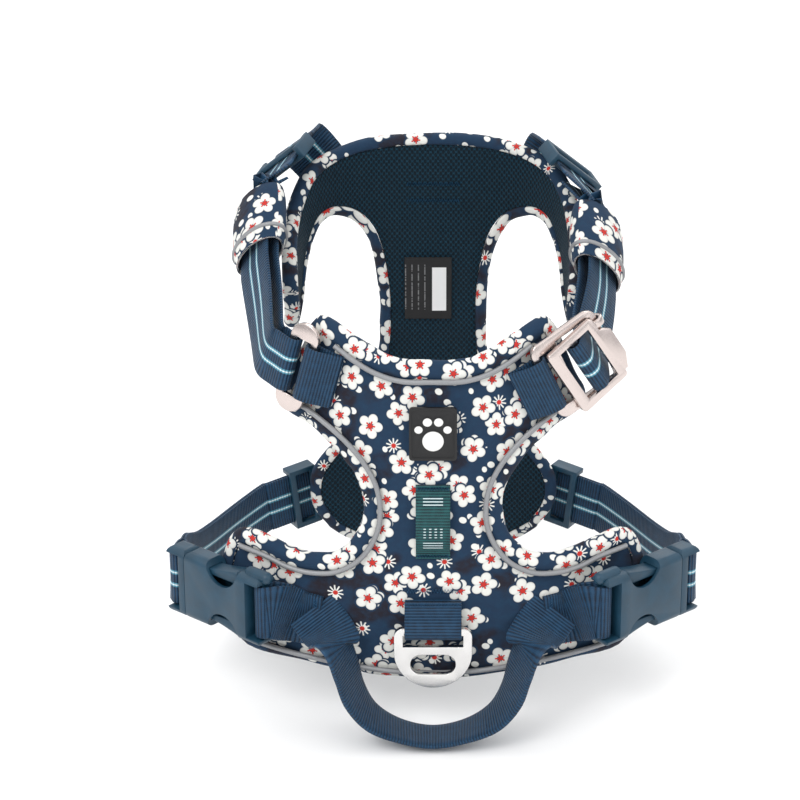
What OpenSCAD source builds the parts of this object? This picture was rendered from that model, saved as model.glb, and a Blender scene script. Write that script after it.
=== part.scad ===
// No pull dog harness: padded back panel, padded chest panel, webbing straps,
// two side release buckles, a metal neck buckle and a lift handle.
// Millimetres. Z is up towards the dog's head, X is across the dog, and the back
// panel is on the -Y side. The origin is the centre of the girth ring.
// Angles t run round the trunk: 0 at the middle of the back panel, 90 at +X,
// 180 at the middle of the chest panel.

/* [Trunk shape] */
// Half width of the girth ring
girth_half_w = 118; // [110:1:126]
// Half depth of the girth ring
girth_half_d = 72; // [68:1:76]
// Half width that the back panel closes to at neck height
back_neck_half_w = 83; // [80:1:86]
// Half width that the chest panel closes to at neck height
chest_neck_half_w = 60; // [58:1:62]
// Half depth at neck height
neck_half_d = 66; // [64:1:68]
// Height of the neck ring above the girth ring
neck_height = 130; // [126:1:134]

/* [Panels] */
// Thickness of the cotton cover
cover_t = 1.1; // [0.8:0.1:1.4]
// Thickness of the foam padding
padding_t = 3.2; // [2.4:0.1:3.6]
// Thickness of the air mesh lining
lining_t = 1.1; // [0.8:0.1:1.4]
// Gap between two layers
layer_gap = 0.1; // [0.05:0.05:0.2]
// Cells across a panel
cells_across = 16; // [10:2:20]
// Cells down the back panel
back_cells_down = 26; // [20:2:30]
// Cells down the chest panel
chest_cells_down = 24; // [20:2:30]
// Width of the rolled edge round the chest panel
chest_edge_w = 5; // [4:0.5:6]
// Diameter of the reflective piping
piping_d = 2.4; // [2:0.2:3]

/* [Webbing] */
// Width of the webbing
web_w = 25; // [25:1:26]
// Thickness of the webbing
web_t = 1.3; // [1:0.1:1.5]

/* [Metalwork] */
// Thickness of the shoulder ring, the receiver and the hook frame
ring_t = 2.6; // [2:0.1:3]
// Width of a bar that webbing wraps
ring_bar_w = 3.4; // [3:0.1:3.6]
// Length of a slot for webbing
slot_l = 27; // [26.5:0.5:28]
// Width of the leash plate
plate_w = 34.4; // [33:0.2:36]
// Thickness of the leash plate
plate_t = 2.8; // [2.4:0.1:3]

/* [Side release buckle] */
// Width of the buckle
buckle_w = 33; // [32:0.5:34]
// Thickness of the buckle
buckle_t = 12; // [11:0.5:13]
// Length of the socket half
socket_l = 45; // [44:0.5:46]
// How far the plug half pulls out
release_travel = 30; // [20:1:30]

/* [Tri-glide sliders] */
// Length of a slider, across the strap
slider_l = 31; // [30.5:0.5:32]
// Width of a slider, along the strap
slider_w = 14; // [12:0.5:16]

/* [Hidden] */
$fn = 48;

back = 0;
chest = 1;
up = [0, 0, 1];
navy = [0.09, 0.17, 0.28];
petrol = [0.07, 0.25, 0.37];
mesh_blue = [0.05, 0.16, 0.22];
slate = [0.16, 0.31, 0.39];
metal = [0.8, 0.77, 0.75];
grey = [0.62, 0.63, 0.65];

// Depths below the outer face of a panel
cover_in = -cover_t;
padding_out = cover_in - layer_gap;
padding_in = padding_out - padding_t;
lining_out = padding_in - layer_gap;
lining_in = lining_out - lining_t;
panel_t = -lining_in;

// Webbing loop round a flat bar
loop_in_r = 2.55;
loop_out_r = loop_in_r + web_t;

// ---------------------------------------------------------------- curves
function mix(a, b, s) = a + (b - a) * s;
function ease(s) = let (c = max(0, min(1, s))) c * c * (3 - 2 * c);
function unit(v) = v / norm(v);
function flip(p) = [-p.x, p.y, p.z];
function reversed(list) = [for (i = [len(list) - 1:-1:0]) list[i]];

// Point on a smooth curve through the points, s from 0 to len - 1
function curve_at(p, s) =
    let (n = len(p), i = min(floor(s), n - 2), f = s - i)
    let (a = i > 0 ? p[i - 1] : 2 * p[0] - p[1], b = p[i], c = p[i + 1])
    let (d = i + 2 < n ? p[i + 2] : 2 * p[n - 1] - p[n - 2])
    0.5 * (2 * b + (c - a) * f + (2 * a - 5 * b + 4 * c - d) * f * f
        + (3 * b - a - 3 * c + d) * f * f * f);
function curve(p, steps) = [for (k = [0:steps]) curve_at(p, (len(p) - 1) * k / steps)];

// ---------------------------------------------------------------- trunk surface
function half_w(side, z) = side == back
    ? mix(girth_half_w, back_neck_half_w, ease(z / neck_height))
    : mix(girth_half_w, chest_neck_half_w, ease(z / (neck_height - 5)))
        + max(0, z - neck_height + 5) * 0.1;
function half_d(z) = mix(girth_half_d, neck_half_d, ease(z / neck_height));
function power(side, z) = side == back ? 2 : 2 + ease(z / (neck_height - 5));
function skin_xy(side, t, z) =
    let (n = power(side, z), a = half_w(side, z), b = half_d(z))
    let (r = pow(pow(abs(sin(t)) / a, n) + pow(abs(cos(t)) / b, n), -1 / n))
    [r * sin(t), -r * cos(t)];
function skin_normal(side, t, z) =
    let (n = power(side, z), a = half_w(side, z), b = half_d(z), p = skin_xy(side, t, z))
    let (g = [sign(p.x) * pow(abs(p.x) / a, n - 1) / a, sign(p.y) * pow(abs(p.y) / b, n - 1) / b])
    [g.x / norm(g), g.y / norm(g), 0];
function skin(side, t, z, off) =
    let (p = skin_xy(side, t, z), n = skin_normal(side, t, z))
    [p.x + off * n.x, p.y + off * n.y, z];

// A frame is [origin, x direction, y direction, z direction]
function skin_frame(side, t, z, off, spin) =
    let (n = skin_normal(side, t, z), e = [-n.y, n.x, 0])
    let (rise = skin(side, t, z + 2, 0) - skin(side, t, z - 2, 0), true_n = unit(cross(e, rise)))
    let (v = cross(true_n, e))
    [skin(side, t, z, 0) + off * true_n, cos(spin) * e + sin(spin) * v, cos(spin) * v - sin(spin) * e, true_n];
function in_frame(f, p) = f[0] + p.x * f[1] + p.y * f[2] + p.z * f[3];
module placed(f) {
    multmatrix([for (k = [0:2]) [f[1][k], f[2][k], f[3][k], f[0][k]]]) children();
}
function along_frame(p, x_dir, y_hint) =
    let (x = unit(x_dir), z = unit(cross(x, y_hint))) [p, x, cross(z, x), z];

// ---------------------------------------------------------------- solids from points
// Closed solid between two grids of points with the same shape
module slab(outer, inner) {
    rows = len(outer);
    cols = len(outer[0]);
    n = rows * cols;
    points = concat([for (r = outer) each r], [for (r = inner) each r]);
    rim = concat(
        [for (j = [0:cols - 1]) j],
        [for (i = [1:rows - 1]) i * cols + cols - 1],
        [for (j = [cols - 2:-1:0]) (rows - 1) * cols + j],
        [for (i = [rows - 2:-1:1]) i * cols]
    );
    m = len(rim);
    polyhedron(points, concat(
        [for (i = [0:rows - 2], j = [0:cols - 2]) let (a = i * cols + j)
            each [[a, a + 1, a + cols + 1], [a, a + cols + 1, a + cols]]],
        [for (i = [0:rows - 2], j = [0:cols - 2]) let (a = n + i * cols + j)
            each [[a, a + cols + 1, a + 1], [a, a + cols, a + cols + 1]]],
        [for (k = [0:m - 1]) let (a = rim[k], b = rim[(k + 1) % m])
            each [[a, n + a, b], [b, n + a, n + b]]]
    ));
}

// Closed solid through a row of rings of points, or round a loop of them
module tube(rings, loop = false) {
    k = len(rings[0]);
    n = len(rings);
    spans = loop ? n : n - 1;
    sides = [for (i = [0:spans - 1], j = [0:k - 1])
        let (a = i * k + j, b = i * k + (j + 1) % k)
        let (c = ((i + 1) % n) * k + j, d = ((i + 1) % n) * k + (j + 1) % k)
        each [[a, c, b], [b, c, d]]];
    ends = loop ? [] : [for (j = [1:k - 2]) each [[0, j, j + 1],
        [(n - 1) * k, (n - 1) * k + j + 1, (n - 1) * k + j]]];
    polyhedron([for (r = rings) each r], concat(sides, ends));
}

// Flat strap along a path; each path entry is [point, direction across the strap]
module ribbon(path, steps, width = web_w, thick = web_t) {
    p = curve([for (e = path) e[0]], steps);
    w = curve([for (e = path) e[1]], steps);
    last = len(p) - 1;
    tube([for (i = [0:last])
        let (t = unit(p[min(i + 1, last)] - p[max(i - 1, 0)]))
        let (a = unit(w[i] - (w[i] * t) * t) * width / 2, b = unit(cross(t, a)) * thick / 2)
        [p[i] + a + b, p[i] - a + b, p[i] - a - b, p[i] + a - b]]);
}

// ---------------------------------------------------------------- panel outlines
// Half outlines where the layers end, as [t away from the panel's middle, height, edge band width]
back_neck_line = [[0, 116, 8.5], [11, 116, 8.5], [20, 118.5, 8.5], [28, 123, 8.5], [36, 129, 8]];
back_side_line = [
    [41.5, 133.5, 7], [45, 125, 6], [48.5, 115, 6], [51.5, 106, 6], [52.5, 100, 7],
    [46, 98.5, 8], [38, 93, 8], [31, 86.5, 8], [25, 78.5, 8], [20.5, 69, 8], [18.5, 58, 8],
    [19.5, 46, 8], [24.5, 34, 8], [32, 26.5, 8], [40, 24.5, 8], [47, 25.5, 8], [53.5, 28.5, 7.5],
    [61, 30, 7], [63, 19, 7], [63, 6, 7], [61.5, -7, 6],
];
back_rear_line = [[58, -14, 4.5], [49, -15.5, 4], [39, -17, 4], [28, -18.5, 4], [15, -20, 4], [0, -20.5, 4]];
chest_neck_line = [
    [0, 179], [13, 178.5], [27, 176.5], [38, 173], [47, 168], [54, 161.5], [62, 154], [71, 146], [80, 138],
    [87, 131],
];
// The side of the chest panel, as [t away from the middle, height, height of that row at the middle]
chest_side_line = [
    [87, 131, 179], [83, 122.5, 178], [77, 115, 177], [68, 124, 175], [60, 134, 173], [53, 143, 170.5],
    [46, 150.5, 168], [38, 152.5, 165], [29, 148.5, 160], [22.5, 138.5, 150], [19, 125, 134],
    [17, 108, 114], [16.5, 92, 95], [17, 77, 77.5], [19, 61, 60], [23, 46, 44], [28.5, 33, 29],
    [35.5, 22, 16], [39.5, 12, 4], [39.5, 0, -9], [35, -12, -25.5],
];

// Heights of the back panel's rows at its middle, one for each entry of its side
back_middle_line = [
    116, 114.5, 113, 111, 108.5, 104.5, 99, 92, 83, 72, 58.5, 43, 28.5, 17.5, 10.5, 6, 2.5, -1.5,
    -6, -12.5, -20.5,
];
function back_turned(line, s) = [for (p = line) [s * p.x, p.y, p.z]];
function back_across(line) = concat(
    back_turned(reversed(line), -1), [for (i = [1:len(line) - 1]) back_turned(line, 1)[i]]);
// The two end rows of the back panel, from the middle to the side
back_neck_row = curve(concat(back_neck_line, [back_side_line[0]]), 40);
back_rear_row = curve(concat(reversed(back_rear_line), [back_side_line[len(back_side_line) - 1]]), 40);
function in_row(row, w, k) = lookup(w * row[40].x, [for (p = row) [p.x, p[k]]]);
function rise(row, w) = (in_row(row, w, 1) - row[0].y) / (row[40].y - row[0].y);

// A grid of [t, height, band width]: the back panel's rows turn from its neck line to its rear line
function back_grid() =
    let (m = back_cells_down, sides = curve(back_side_line, m), middles = curve(back_middle_line, m))
    [for (i = [0:m]) [for (j = [0:cells_across])
        let (v = i / m, u = 2 * j / cells_across - 1, w = abs(u), p = sides[i])
        let (share = mix(rise(back_neck_row, w), rise(back_rear_row, w), v))
        let (band = mix(in_row(back_neck_row, w, 2), in_row(back_rear_row, w, 2), v))
        [u * p.x, mix(middles[i], p.y, share), mix(band, p.z, pow(w, 6))]]];
// and the chest panel's has rows that follow its neck line, further below it at each row
chest_neck_heights = curve(chest_neck_line, 40);
function chest_grid() =
    let (side_curve = curve(chest_side_line, chest_cells_down), top = chest_neck_line[0].y)
    [for (p = side_curve) [for (j = [0:cells_across])
        let (u = 2 * j / cells_across - 1, q = abs(u) * p.x)
        let (drop = mix(top - p.z, lookup(p.x, chest_neck_heights) - p.y, pow(abs(u), 3)))
        [180 - u * p.x, lookup(q, chest_neck_heights) - drop, chest_edge_w]]];
function panel_grid(side) = side == back ? back_grid() : chest_grid();
function grid_at(side, grid, off) = [for (row = grid) [for (p = row) skin(side, p.x, p.y, off)]];

// One layer of a panel, between two depths below its outer face
function outer_face(side) = side == back ? 0 : panel_t;
module layer(side, from, to) {
    grid = panel_grid(side);
    faces = [for (depth = side == back ? [from, to] : [to, from]) grid_at(side, grid, outer_face(side) + depth)];
    slab(faces[0], faces[1]);
}

// The outline as one loop, and a place beside it: b outwards in the panel, n off its outer face
function outline(side) = let (g = panel_grid(side), m = len(g) - 1)
    concat(g[0], [for (i = [1:m]) g[i][cells_across]], [for (j = [cells_across - 1:-1:0]) g[m][j]],
        [for (i = [m - 1:-1:1]) g[i][0]]);
function beside(side, before, p, after, b, n) =
    let (normal = skin_normal(side, p.x, p.y), here = skin(side, p.x, p.y, outer_face(side)))
    let (along = skin(side, after.x, after.y, 0) - skin(side, before.x, before.y, 0))
    let (out = unit(cross(normal, along)) * (side == back ? 1 : -1))
    here + b * out + n * normal;
module edge_binding(side) {
    line = outline(side);
    n = len(line);
    section = [[0.3, 0.2, 0], [0, 0.5, 0.55], [0, -0.6, 0.9], [0, -panel_t / 2, 1],
        [0, 0.3 - panel_t, 0.9], [0.3, -panel_t - 0.2, 0]];
    tube([for (i = [0:n - 1]) let (p = line[i])
        [for (q = side == back ? reversed(section) : section) beside(side, line[(i + n - 1) % n], p, line[(i + 1) % n], q.x + q.z * p.z, q.y)]],
        loop = true);
}

// ---------------------------------------------------------------- panels
module back_cover() { color(navy) layer(back, 0, cover_in); }
module back_padding() { color("dimgrey") layer(back, padding_out, padding_in); }
module back_lining() { color(mesh_blue) layer(back, lining_out, lining_in); }
module back_edge_binding() { color(navy) edge_binding(back); }
module chest_cover() { color(navy) layer(chest, 0, cover_in); }
module chest_padding() { color("dimgrey") layer(chest, padding_out, padding_in); }
module chest_lining() { color(mesh_blue) layer(chest, lining_out, lining_in); }
module chest_edge_binding() { color(navy) edge_binding(chest); }

// Piping cord along the seam between the cover and the rolled edge
piping_steps = 20;
module piping(line) {
    c = curve(line, piping_steps);
    tube([for (i = [0:piping_steps])
        [for (a = [0:60:300]) beside(back, c[max(0, i - 1)], c[i], c[min(piping_steps, i + 1)],
            cos(a) * piping_d / 2, 0.35 + piping_d / 2 + sin(a) * piping_d / 2)]]);
}
module back_piping() color(grey) {
    piping(back_across(back_neck_line));
    piping(back_across(reversed(back_rear_line)));
    for (s = [-1, 1]) piping(back_turned([for (i = [4:17]) back_side_line[i]], s));
}

// ---------------------------------------------------------------- badge, label and light loop
badge_w = 20.6;
badge_h = 24;
badge_z = 93;
module rounded_plate(w, h, r) {
    translate([-w / 2 + r, -h / 2]) square([w - 2 * r, h]);
    translate([-w / 2, -h / 2 + r]) square([w, h - 2 * r]);
    for (x = [-1, 1], y = [-1, 1]) translate([x * (w / 2 - r), y * (h / 2 - r)]) circle(r);
}
module badge_patch() color([0.05, 0.05, 0.06]) placed(skin_frame(back, 0, badge_z, 2, 0)) {
    linear_extrude(1.2) rounded_plate(badge_w, badge_h, 1.6);
    translate([0, 0, 1.2]) linear_extrude(0.6) difference() {
        rounded_plate(badge_w, badge_h, 1.6);
        rounded_plate(badge_w - 2.4, badge_h - 2.4, 1);
    }
    // A plain paw: one pad and four toes
    translate([0, -3, 1.2]) cylinder(r = 4.6, h = 0.6);
    for (toe = [[-6.2, 2.2, 1.8], [-2.4, 5.6, 2], [2.4, 5.6, 2], [6.2, 2.2, 1.8]])
        translate([toe.x, toe.y, 1.2]) cylinder(r = toe.z, h = 0.6);
}
module care_label() color([0.03, 0.03, 0.03]) placed(skin_frame(chest, 182, 109.5, -1.3, 0))
    linear_extrude(0.4) rounded_plate(22, 31, 0.4);
module light_loop() color([0.1, 0.32, 0.33])
    ribbon([for (p = [[69, 1], [65.5, 1.1], [60, 3], [52, 3.7], [44, 3], [38.5, 1.1], [35, 1]])
        [skin(back, 0, p.x, p.y), [1, 0, 0]]], 12, 15, 1.2);

// ---------------------------------------------------------------- webbing loops round bars
// Half turns of a strap round a bar at x = c, z = h of a frame, from its top by its far side
// (d = 1 the +X side, d = -1 the -X side) to its bottom
function wrap(f, c, h, d) = let (r = loop_in_r + web_t / 2)
    [for (a = [90:-30:-90]) [in_frame(f, [c + d * r * cos(a), 0, h + r * sin(a)]), f[2]]];
function in_path(f, points) = [for (p = points) [in_frame(f, [p.x, 0, p.y]), f[2]]];
module strap(path, thick = web_t) ribbon(path, 2 * (len(path) - 1), web_w, thick);

// ---------------------------------------------------------------- leash plate on the back
leash_bar_z = 1.6;
leash_frame = skin_frame(back, 0, leash_bar_z, loop_out_r + 0.6, 90);
// In this frame x points up, y to -X and z off the panel; the plate hangs to -x
module leash_tab() color(petrol) strap(concat(
    in_path(leash_frame, [[13.5, -1.7], [8, -0.4], [4, 2]]),
    wrap(leash_frame, 0, 0, -1),
    in_path(leash_frame, [[4, -3.4], [8, -3.4], [13.5, -3.3]])));
plate_slot_l = 26.6;
module plate_outline() {
    r = 4;
    for (y = [-1, 1]) translate([1.7 - r, y * (plate_w / 2 - r)]) circle(r);
    translate([1.7 - r, r - plate_w / 2]) square([r, plate_w - 2 * r]);
    translate([-10, -plate_w / 2]) square([11.7 - r, plate_w]);
    intersection() {
        translate([-10, 0]) circle(plate_w / 2);
        translate([-40, -plate_w / 2]) square([30.01, plate_w]);
    }
}
module leash_plate() color(metal) placed(leash_frame) difference() {
    translate([0, 0, -plate_t / 2]) linear_extrude(plate_t) plate_outline();
    translate([-7.2, -plate_slot_l / 2, -3]) cube([5.5, plate_slot_l, 6]);
    translate([-15.8, 0, -3]) linear_extrude(6) {
        for (y = [-1, 1]) translate([0, y * 5.2]) circle(4.8);
        translate([-4.8, -5.2]) square([9.6, 10.4]);
    }
}

// ---------------------------------------------------------------- front leash ring on the chest
front_bar_z = 141;
front_frame = skin_frame(chest, 180, front_bar_z, panel_t + loop_out_r + 0.6, 90);
front_ring_r = 14.9;
front_wire_r = 1.9;
// x points up, z off the chest; the ring hangs to -x
module front_leash_tab() color(petrol) strap(concat(
    in_path(front_frame, [[20, -1.9], [12, -1.3], [4, 2]]),
    wrap(front_frame, 0, 0, -1),
    in_path(front_frame, [[4, -3.4], [12, -3.4], [20, -3.4]])));
module front_leash_ring() color(metal) placed(front_frame) {
    rotate([90, 0, 0]) cylinder(r = front_wire_r, h = 2 * front_ring_r, center = true);
    for (y = [-1, 1]) translate([0, y * front_ring_r, 0]) sphere(front_wire_r);
    for (y = [-1, 1]) translate([0, y * front_ring_r, 0]) rotate([0, -90, 0]) cylinder(r = front_wire_r, h = 5);
    translate([-5, 0, 0]) rotate([0, 0, 90]) rotate_extrude(angle = 180)
        translate([front_ring_r, 0]) circle(front_wire_r);
}

// ---------------------------------------------------------------- left shoulder ring
ring_frame = skin_frame(back, -44, 116, 5.4, -15);
// x points to the middle of the back; the tab wraps the bar at x = 0, the strap the bar at -x
ring_gap = 7.2;
strap_bar_x = -ring_gap - ring_bar_w;
module shoulder_tab(f, d, drop) color(petrol) strap(concat(
    in_path(f, [[12.5 * d, 1.4 - drop], [8 * d, -0.6], [3.6 * d, 2.3]]),
    wrap(f, 0, 0, -d),
    in_path(f, [[3.6 * d, -3.2], [8 * d, -0.7 - drop * 0.65], [12.5 * d, -drop]])));
module shoulder_tab_left() shoulder_tab(ring_frame, 1, 4.9);
module shoulder_ring() color(metal) placed(ring_frame) translate([strap_bar_x / 2, 0, -ring_t / 2])
    linear_extrude(ring_t) difference() {
        rounded_plate(ring_gap + 2 * ring_bar_w, 42, 6.9);
        translate([-ring_gap / 2, -slot_l / 2]) square([ring_gap, slot_l]);
    }
// Webbing loop round a bar, its middle at angle a in the xz plane of the frame
wrap_r = loop_in_r + web_t / 2;
function bar_wrap(f, x, z, a, turn) = [for (k = [-90:30:90])
    [in_frame(f, [x + wrap_r * cos(a + turn * k), 0, z + wrap_r * sin(a + turn * k)]), f[2]]];
// Both ends leave the bar at strap_turn below the plane of the ring
strap_turn = 10;
function ring_layer(d, r) = [strap_bar_x - d * cos(strap_turn) - r * sin(strap_turn),
    r * cos(strap_turn) - d * sin(strap_turn)];
module shoulder_ring_strap_loop() color(petrol) strap(concat(
    in_path(ring_frame, [ring_layer(5.5, 3.1), ring_layer(2.5, wrap_r)]),
    bar_wrap(ring_frame, strap_bar_x, 0, strap_turn, -1),
    in_path(ring_frame, [ring_layer(2.5, -wrap_r), ring_layer(5.5, -3.1)])));

// ---------------------------------------------------------------- right neck buckle
receiver_frame = skin_frame(back, 40, 112, 5.6, 25);
// x points outwards over the shoulder; the tab wraps the bar at x = 0
receiver_l = 34.5;
receiver_bar_x = 31.2;
hook_spin = 8;
hook_h = 3.7;
hook_at = [5.5, -3.5];
hook_bar = 13.5;
hook_frame = [in_frame(receiver_frame, [hook_at.x, hook_at.y, hook_h]),
    cos(hook_spin) * receiver_frame[1] + sin(hook_spin) * receiver_frame[2],
    cos(hook_spin) * receiver_frame[2] - sin(hook_spin) * receiver_frame[1], receiver_frame[3]];
module shoulder_tab_right() shoulder_tab(receiver_frame, -1, 5.1);
module neck_buckle_receiver() color(metal) placed(receiver_frame) translate([0, 0, -ring_t / 2])
    linear_extrude(ring_t) difference() {
        translate([receiver_l / 2 - 1.7, 0]) rounded_plate(receiver_l, 38, 5);
        translate([ring_bar_w / 2, -slot_l / 2]) square([6.4, slot_l]);
        translate([11, -15.2]) square([receiver_bar_x - 12.6, 30.4]);
    }
claw_y = 10.2;
module neck_buckle_hook_frame() color(metal) {
    placed(hook_frame) translate([0, 0, -ring_t / 2]) linear_extrude(ring_t) difference() {
        union() {
            translate([13, 0]) rounded_plate(26, 33.6, 2);
            polygon([[25, 9.5], [27.3, 9.5], [30.6, 6.2], [30.6, -7.5], [27.5, -14], [25, -14]]);
        }
        translate([5, -slot_l / 2]) square([hook_bar - ring_bar_w / 2 - 5, slot_l]);
        translate([hook_bar + ring_bar_w / 2, -slot_l / 2]) square([22 - hook_bar - ring_bar_w / 2, slot_l]);
    }
    // Claw that holds the outer bar of the receiver
    placed(receiver_frame) translate([receiver_bar_x, claw_y, 0]) rotate([-90, 0, 0]) difference() {
        cylinder(r = 4.1, h = 3.4);
        translate([0, 0, -1]) cylinder(r = 2.6, h = 6);
        translate([-6, 0.8, -1]) cube([6, 6, 6]);
    }
}
module neck_buckle_strap_loop() color(petrol) strap(concat(
    in_path(hook_frame, [[23.3, -9], [22.3, -7.3], [20.6, -4.3], [18.4, -0.9]]),
    [for (a = [40:30:250]) [in_frame(hook_frame, [hook_bar + wrap_r * cos(a), 0, wrap_r * sin(a)]), hook_frame[2]]],
    in_path(hook_frame, [[15.6, -4.7], [18.5, -7], [20, -9.2], [20.9, -10.9]])));

// ---------------------------------------------------------------- shoulder straps
// The strap runs from the neck hardware through its sleeve and slider to the chest panel, and
// its end comes back from the slider below it. Path entries are [point, direction across the strap]
layers_apart = 2.6;
sleeve_at_left = [-76.8, 8.5, 158.5];
sleeve_at_right = [72.6, 2.5, 152.5];
sleeve_dir = [-0.03, 0.83, 0.55];
sleeve_wide = [0.5, -0.55, 0.67];
sleeve_frame_left = along_frame(sleeve_at_left, sleeve_dir, sleeve_wide);
sleeve_frame_right = along_frame(sleeve_at_right, flip(sleeve_dir), flip(sleeve_wide));
slider_at_left = [-67.5, 44.5, 178.5];
slider_at_right = [62, 43, 175.5];
slider_dir = [0.32, 0.92, 0.22];
slider_wide = [0.72, -0.2, 0.66];
slider_frame_left = along_frame(slider_at_left, slider_dir, slider_wide);
slider_frame_right = along_frame(slider_at_right, flip(slider_dir), flip(slider_wide));
// Straight runs along x of a frame, at height z
function run(f, xs, z) = [for (x = xs) [in_frame(f, [x, 0, z]), f[2]]];
sleeve_run = [-25, -21, 0, 17, 19.5];
slider_run = [-13, -10, 0, 10, 13];
// From the slider down the outside of the chest panel, for the +X side
function to_chest(slider_at) = [
    [slider_at + [-7, 23, 1.5], [-0.77, 0.1, 0.5]],
    [skin(chest, 142, 170, panel_t + 5.5), [-0.8, 0.4, 0.35]],
    [skin(chest, 145, 160, panel_t + 2.3), [-0.83, 0.5, 0.2]],
    [skin(chest, 147, 149, panel_t + 1.9), [-0.83, 0.55, 0.1]]];
function mirrored_path(path) = [for (e = path) [flip(e[0]), flip(e[1])]];
module shoulder_strap_left() color(petrol) strap(concat(
    in_path(ring_frame, [for (d = [7.6, 9.6, 12.4]) ring_layer(d, 3.1)]),
    [[[-74.2, -40.5, 126], [0.3, -0.18, 0.93]], [[-74.3, -30, 133], [0.4, -0.3, 0.87]]],
    run(sleeve_frame_left, sleeve_run, -layers_apart),
    run(slider_frame_left, slider_run, 0), mirrored_path(to_chest(flip(slider_at_left)))));
module shoulder_strap_under_left() color(petrol) strap(concat(
    in_path(ring_frame, [for (d = [7.6, 9.6, 12.4]) ring_layer(d, -3.1)]),
    [[[-69.9, -36.5, 125.3], [0.3, -0.18, 0.93]], [[-69.8, -28, 131.8], [0.4, -0.3, 0.87]]],
    run(sleeve_frame_left, sleeve_run, layers_apart),
    run(slider_frame_left, [-14.5], 3.5)));
module shoulder_strap_right() color(petrol) strap(concat(
    in_path(hook_frame, [[24.4, -10.8], [25.3, -12.4], [26.9, -15.1]]),
    [[[72.5, -28, 132], [-0.5, -0.36, 0.79]]],
    run(sleeve_frame_right, sleeve_run, layers_apart),
    run(slider_frame_right, slider_run, 0), to_chest(slider_at_right)));
module shoulder_strap_under_right() color(petrol) strap(concat(
    in_path(hook_frame, [[22, -12.7], [22.9, -14.3], [24.5, -17]]),
    [[[68, -26.5, 130.5], [-0.5, -0.36, 0.79]]],
    run(sleeve_frame_right, sleeve_run, -layers_apart),
    run(slider_frame_right, [-13], -3.5)));

// Padded sleeve round both layers of a strap
sleeve_l = 31;
sleeve_wall = 1.6;
module sleeve() {
    steps = 5;
    function place(i) = (i / steps - 0.5) * sleeve_l;
    tube([for (a = [342:-18:0])
        let (c = cos(a), s = sin(a))
        concat(
            [for (i = [0:steps]) let (g = 0.9 * cos(180 * (i / steps - 0.5)))
                [place(i), (17 + g) * c, (8.9 + g) * s]],
            [for (i = [steps:-1:0]) [place(i), (17 - sleeve_wall) * c, (8.9 - sleeve_wall) * s]])],
        loop = true);
}
module strap_sleeve_left() color(navy) placed(sleeve_frame_left) sleeve();
module strap_sleeve_right() color(navy) placed(sleeve_frame_right) sleeve();

// ---------------------------------------------------------------- tri-glide sliders
// x runs along the strap and y across it; the strap passes under the end bars and over the middle one
module slider(t) {
    gap = t / 2 + 0.35;
    bar = 2.2;
    for (y = [-1, 1]) translate([-slider_w / 2, y * (slider_l / 2 - 1.3) - 1.3, -gap - bar])
        cube([slider_w, 2.6, 2 * (gap + bar)]);
    for (x = [-1, 1]) translate([x * (slider_w / 2 - 1.6), 0, gap + bar / 2]) {
        cube([3.2, slider_l - 2.6, bar], center = true);
    }
    translate([0, 0, -gap - bar / 2]) cube([3.4, slider_l - 2.6, bar], center = true);
}
module shoulder_slider_left() color(petrol) placed(slider_frame_left) slider(web_t);
module shoulder_slider_right() color(petrol) placed(slider_frame_right) slider(web_t);

// ---------------------------------------------------------------- side release buckles
// Modelled at +X and mirrored to -X: x runs outwards along the buckle, y up, z off the dog
buckle_origin = [73.3, -70.1, 8.3];
buckle_dir = [0.756, 0.6546, 0];
buckle_l = socket_l + 11.4;
buckle_frame = [buckle_origin, buckle_dir, up, cross(buckle_dir, up)];
wall_y = 13;
cavity_h = 8.4;
window_x = socket_l - 23;
window_r = 9.5;
pivot_x = socket_l + 1.9;
pivot_y = 11.2;
prong_rate = 0.0056;
prong_out = wall_y - 0.3;
socket_bar_x = ring_bar_w / 2;
plug_x = socket_l + 0.3;
plug_bar_x = buckle_l - ring_bar_w / 2;
module buckle_block(from, to, r) intersection() {
    translate([(from + to) / 2, 0, -buckle_t / 2]) linear_extrude(buckle_t) rounded_plate(to - from, buckle_w, r);
    translate([from, 0, 0]) rotate([90, 0, 90]) linear_extrude(to - from) rounded_plate(buckle_w, buckle_t, 4);
}
// Room round the bar at each end, so that the webbing can wrap it
module bar_slot(bar_x, d) {
    translate([bar_x, -slot_l / 2, -buckle_t]) {
        translate([d > 0 ? ring_bar_w / 2 : -ring_bar_w / 2 - 4, 0, 0]) cube([4, slot_l, 2 * buckle_t]);
        for (z = [0, buckle_t + 1.5]) translate([-5, 0, z]) cube([10, slot_l, buckle_t - 1.5]);
    }
}
module socket() difference() {
    union() {
        buckle_block(0, socket_l, 2.5);
        // Ear that guides the webbing
        translate([-0.5, buckle_w / 2 - 0.2, 0]) rotate([0, 90, 0]) cylinder(r = 2.8, h = 9);
        for (x = [-0.5, 8.5]) translate([x, buckle_w / 2 - 0.2, 0]) sphere(2.8);
    }
    bar_slot(socket_bar_x, 1);
    translate([9.6, -wall_y, -cavity_h / 2]) cube([socket_l, 2 * wall_y, cavity_h]);
    for (y = [-1, 1]) translate([window_x, y * buckle_w / 2, -10]) cylinder(r = window_r, h = 20);
}
module plug() {
    difference() {
        buckle_block(plug_x, buckle_l, 3);
        bar_slot(plug_bar_x, -1);
        for (y = [-1, 1]) {
            translate([pivot_x, y * pivot_y, -cavity_h / 2]) cylinder(r = 2, h = cavity_h);
            translate([plug_x - 1, y * pivot_y - 2.3, -cavity_h / 2]) cube([pivot_x - plug_x + 1, 4.6, cavity_h]);
        }
    }
    translate([20, -2, -2.5]) cube([plug_x - 20 + 0.01, 4, 5]);
}
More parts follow.
